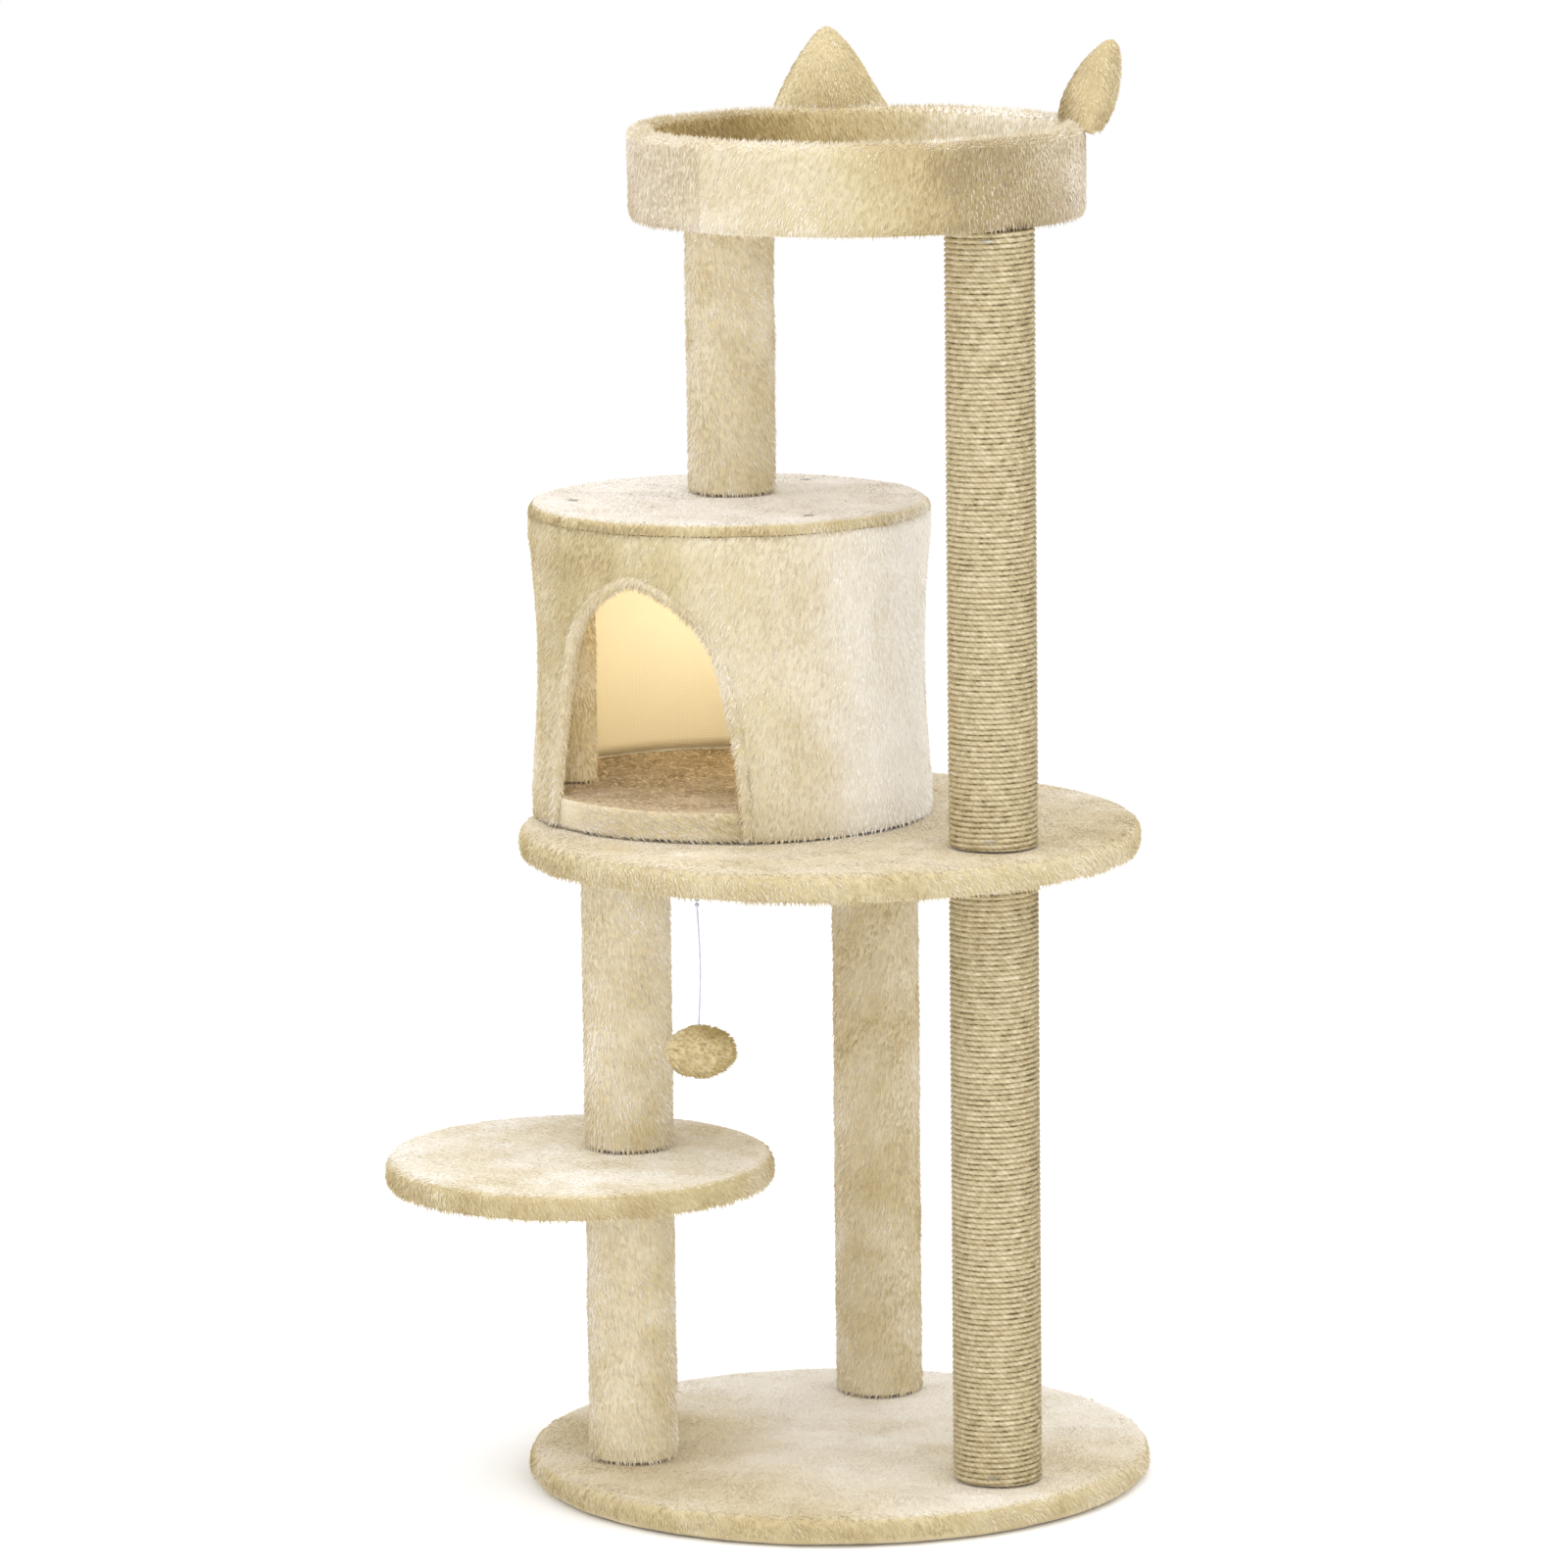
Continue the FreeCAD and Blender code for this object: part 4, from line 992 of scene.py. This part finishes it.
def sewnEar(name, turn):
    # two plush triangles sewn along their edges and filled: one side is shaped, then mirrored
    bpy.ops.object.select_all(action="DESELECT")
    bpy.ops.mesh.primitive_grid_add(x_subdivisions=ear["cells"], y_subdivisions=ear["cells"], size=1,
                                    location=(0, 0, 0))
    piece = startPiece(bpy.context.active_object, name)
    for vertex in piece.data.vertices:
        u, v = vertex.co.x * 2, vertex.co.y + 0.5
        width = ear["half"] * (1 - v) ** 0.7
        # fullest below the middle, and closing to a point
        body = (2.37 * (v + 0.15) * (1.15 - v)) ** 0.7 * (1 - v) ** 0.3
        vertex.co = metres(u * width, -ear["thick"] * body * max(0, 1 - u * u) ** 0.55, v * ear["rise"])
    applied(piece, "MIRROR", use_axis=(False, True, False), use_clip=True, merge_threshold=0.05 * mm)
    active(piece)
    bpy.ops.object.mode_set(mode="EDIT")
    bpy.ops.mesh.select_all(action="SELECT")
    bpy.ops.mesh.remove_doubles(threshold=0.1 * mm)
    bpy.ops.mesh.select_all(action="DESELECT")
    bpy.ops.mesh.select_non_manifold(extend=False)
    bpy.ops.mesh.edge_face_add()
    bpy.ops.mesh.select_all(action="SELECT")
    bpy.ops.mesh.quads_convert_to_tris()
    bpy.ops.mesh.normals_make_consistent(inside=False)
    bpy.ops.object.mode_set(mode="OBJECT")
    angle = math.radians(turn)
    foot = metres(bed[0] + ear["reach"] * math.cos(angle), bed[1] + ear["reach"] * math.sin(angle), ear["low"])
    piece.matrix_world = (
        Matrix.Translation(foot)
        @ Matrix.Rotation(angle + math.pi / 2, 4, "Z") @ Matrix.Rotation(math.radians(ear["lean"]), 4, "X"))
    bpy.ops.object.transform_apply(location=True, rotation=True, scale=True)
    bpy.ops.object.shade_smooth()
    return piece


for i, (side, turn) in enumerate(earTurn.items()):
    skin = relief(sewnEar(side + "_ear_plush", turn), 22, 1.2)
    dress(skin, sideCloth, "tree", [side + "_ear"])
    napTone(skin, earShade[side])
    grow(side + "_ear_pile", skin, lambda place, normal: place[:, 2] > 1060, perMm=0.4, flow=(0, 0, -0.8),
         upright=0.45, jitter=0.15, length=0.85, patch=60, seed=200 + 10 * i, level=earShade[side])

ball = stuffed("toy_ball_plush", "toy_ball", 2, 1)
relief(ball, 14, 1.6)
dress(ball, sideCloth, "toy", ["toy_ball"])
# the ball's cloth and pile are painted deeper: painted shade
napTone(ball, 0.55)
ballPile = grow("toy_ball_pile", ball, everywhere, perMm=0.4, flow=(0.6, 0.3, -0.2), upright=0.5, length=0.8,
                seed=230, body="toy", flutter=0.5, shades=goldPile, level=0.85)

toy = {"spot": (-9, -199), "turn": math.radians(29), "thick": 1.3, "top": 484.5, "length": 0.0946}
route = [(0, toy["top"]), (1.9, 453), (2.0, 421), (0, 390)]  # sideways bow, height
path = [(toy["spot"][0] + bow * math.cos(toy["turn"]), toy["spot"][1] + bow * math.sin(toy["turn"]), height)
        for bow, height in route]
cord = tube("toy_cord", path, toy["thick"] / 2, 12, 3)
dress(cord, cordWhite, "toy", ["toy_string"])
print("toy")

rope = {"pitch": 4.2, "root": 32.2, "crest": 34.3, "round": 0.45, "tube": 30.2, "steps": 144, "lay": 4.6,
        "strand": 0.5, "gapLength": 5, "stray": 0.25, "below": 1.5, "extraTurns": 3, "gap": 0.2}
# what the rope's tone is made of: painted shade between the turns, and painted shade that makes the side turned
# from the light duller
ropeTone = {"height": 0.74, "ridge": 0.12, "strand": 0.16, "lower": 0.09, "shadedSide": 0.17, "shadedSideTurn": 20,
            "shadedSideWide": 42}


def wound(name, low, high, replaced, seed):
    # one turn of rope seen from outside, screwed up the tube, then closed against it
    spot = posts["scratch"]
    pitch = rope["pitch"]
    shoulder, start = rope["crest"] - rope["round"], low - pitch * rope["below"]
    profile = [(rope["root"], 0), (shoulder, 0.22), (rope["crest"], 0.5), (shoulder, 0.78), (rope["root"], 1)]
    winding = drawn(name, [Vector(metres(r, 0, start + z * pitch)) for r, z in profile])
    bpy.ops.object.mode_set(mode="OBJECT")
    turns = math.ceil((high - low) / pitch) + rope["extraTurns"]
    applied(winding, "SCREW", axis="Z", angle=math.tau, screw_offset=pitch * mm, iterations=turns,
            steps=rope["steps"], render_steps=rope["steps"], use_merge_vertices=True, merge_threshold=0.01 * mm)
    mesh = winding.data
    place = readVectors(mesh.vertices, "co")
    angle = np.arctan2(place[:, 1], place[:, 0])
    rise = (place[:, 2] / mm - start) / pitch - angle / math.tau
    # q runs from 0 to 1 over one turn's height, along is the way along the rope in mm
    q = rise - np.floor(rise)
    along = (np.floor(rise) * math.tau + angle) * rope["crest"]
    ridge = np.cos(math.tau * (along / rope["lay"] + q * 0.8))
    # painted shade of uneven depth in the grooves between the turns, and turns that stray a little
    chance = np.random.default_rng(seed)
    length = along.max() - along.min()
    spaced = np.linspace(along.min(), along.max(), int(length / rope["gapLength"]))
    gap = np.interp(along, spaced, chance.random(len(spaced))) ** 2
    stray = np.interp(along, spaced[::4], chance.normal(0, rope["stray"], len(spaced[::4])))
    place[:, 2] += stray * np.sin(math.pi * q) * mm
    swell = 1 + mm * (rope["strand"] * ridge * np.sin(math.pi * q)) / np.hypot(place[:, 0], place[:, 1])
    place[:, :2] *= swell[:, None]
    mesh.vertices.foreach_set("co", place.ravel())
    strand = chance.random(int(length / rope["lay"]) + 3)[((along - along.min()) / rope["lay"]).astype(int)]
    # painted shade, deepest in the grooves between the turns
    height = 1 - (0.25 + 0.8 * gap) * (1 - np.sin(math.pi * q) ** 0.7)
    # painted shade on the side turned from the light
    shadedSide = ropeTone["shadedSide"] * np.exp(-((np.degrees(angle) - ropeTone["shadedSideTurn"]) / ropeTone["shadedSideWide"]) ** 2)
    shade = ropeTone["strand"] * (strand - 0.5) - shadedSide - ropeTone["lower"]
    storeValues(mesh, "ridge", "POINT", ropeTone["height"] * height + ropeTone["ridge"] * ridge + shade)
    active(winding)
    bpy.ops.object.mode_set(mode="EDIT")
    for end, side in ((low + rope["gap"], "clear_inner"), (high - rope["gap"], "clear_outer")):
        bpy.ops.mesh.select_all(action="SELECT")
        bpy.ops.mesh.bisect(plane_co=metres(0, 0, end), plane_no=(0, 0, 1), **{side: True})
    bpy.ops.mesh.select_all(action="SELECT")
    bpy.ops.mesh.remove_doubles(threshold=0.01 * mm)
    bpy.ops.mesh.select_all(action="DESELECT")
    bpy.ops.mesh.select_mode(type="EDGE")
    bpy.ops.mesh.select_non_manifold(extend=False, use_wire=False, use_multi_face=False,
                                     use_non_contiguous=False, use_verts=False)
    inner = rope["tube"] / rope["crest"]
    bpy.ops.mesh.extrude_edges_move()
    bpy.ops.transform.resize(value=(inner, inner, 1), center_override=(0, 0, 0))
    bpy.ops.mesh.bridge_edge_loops()
    bpy.ops.mesh.select_mode(type="VERT")
    bpy.ops.mesh.select_all(action="SELECT")
    bpy.ops.mesh.normals_make_consistent(inside=False)
    bpy.ops.object.mode_set(mode="OBJECT")
    winding.location = metres(*spot, 0)
    bpy.ops.object.transform_apply(location=True)
    bpy.ops.object.shade_smooth()
    dress(winding, sisal, "tree", [replaced])
    print(name, len(mesh.polygons), "faces")
    return winding


wound("lower_sisal_rope", 25, 497, "lower_scratching_post_sisal_winding", 240)
wound("upper_sisal_rope", 522, 994, "upper_scratching_post_sisal_winding", 250)
print("rope")

bpy.data.objects.remove(tuftModel)

floor = {"radius": 9.0, "height": -0.0004}
bpy.ops.object.select_all(action="DESELECT")
bpy.ops.mesh.primitive_circle_add(vertices=96, radius=floor["radius"], fill_type="NGON",
                                  location=(0, 0, floor["height"]))
ground = startPiece(bpy.context.active_object, "studio_floor")
bpy.ops.object.transform_apply(location=True)
ground.data.materials.append(newMaterial("matt_studio_paper", "#FFFFFF", 1.0)[0])
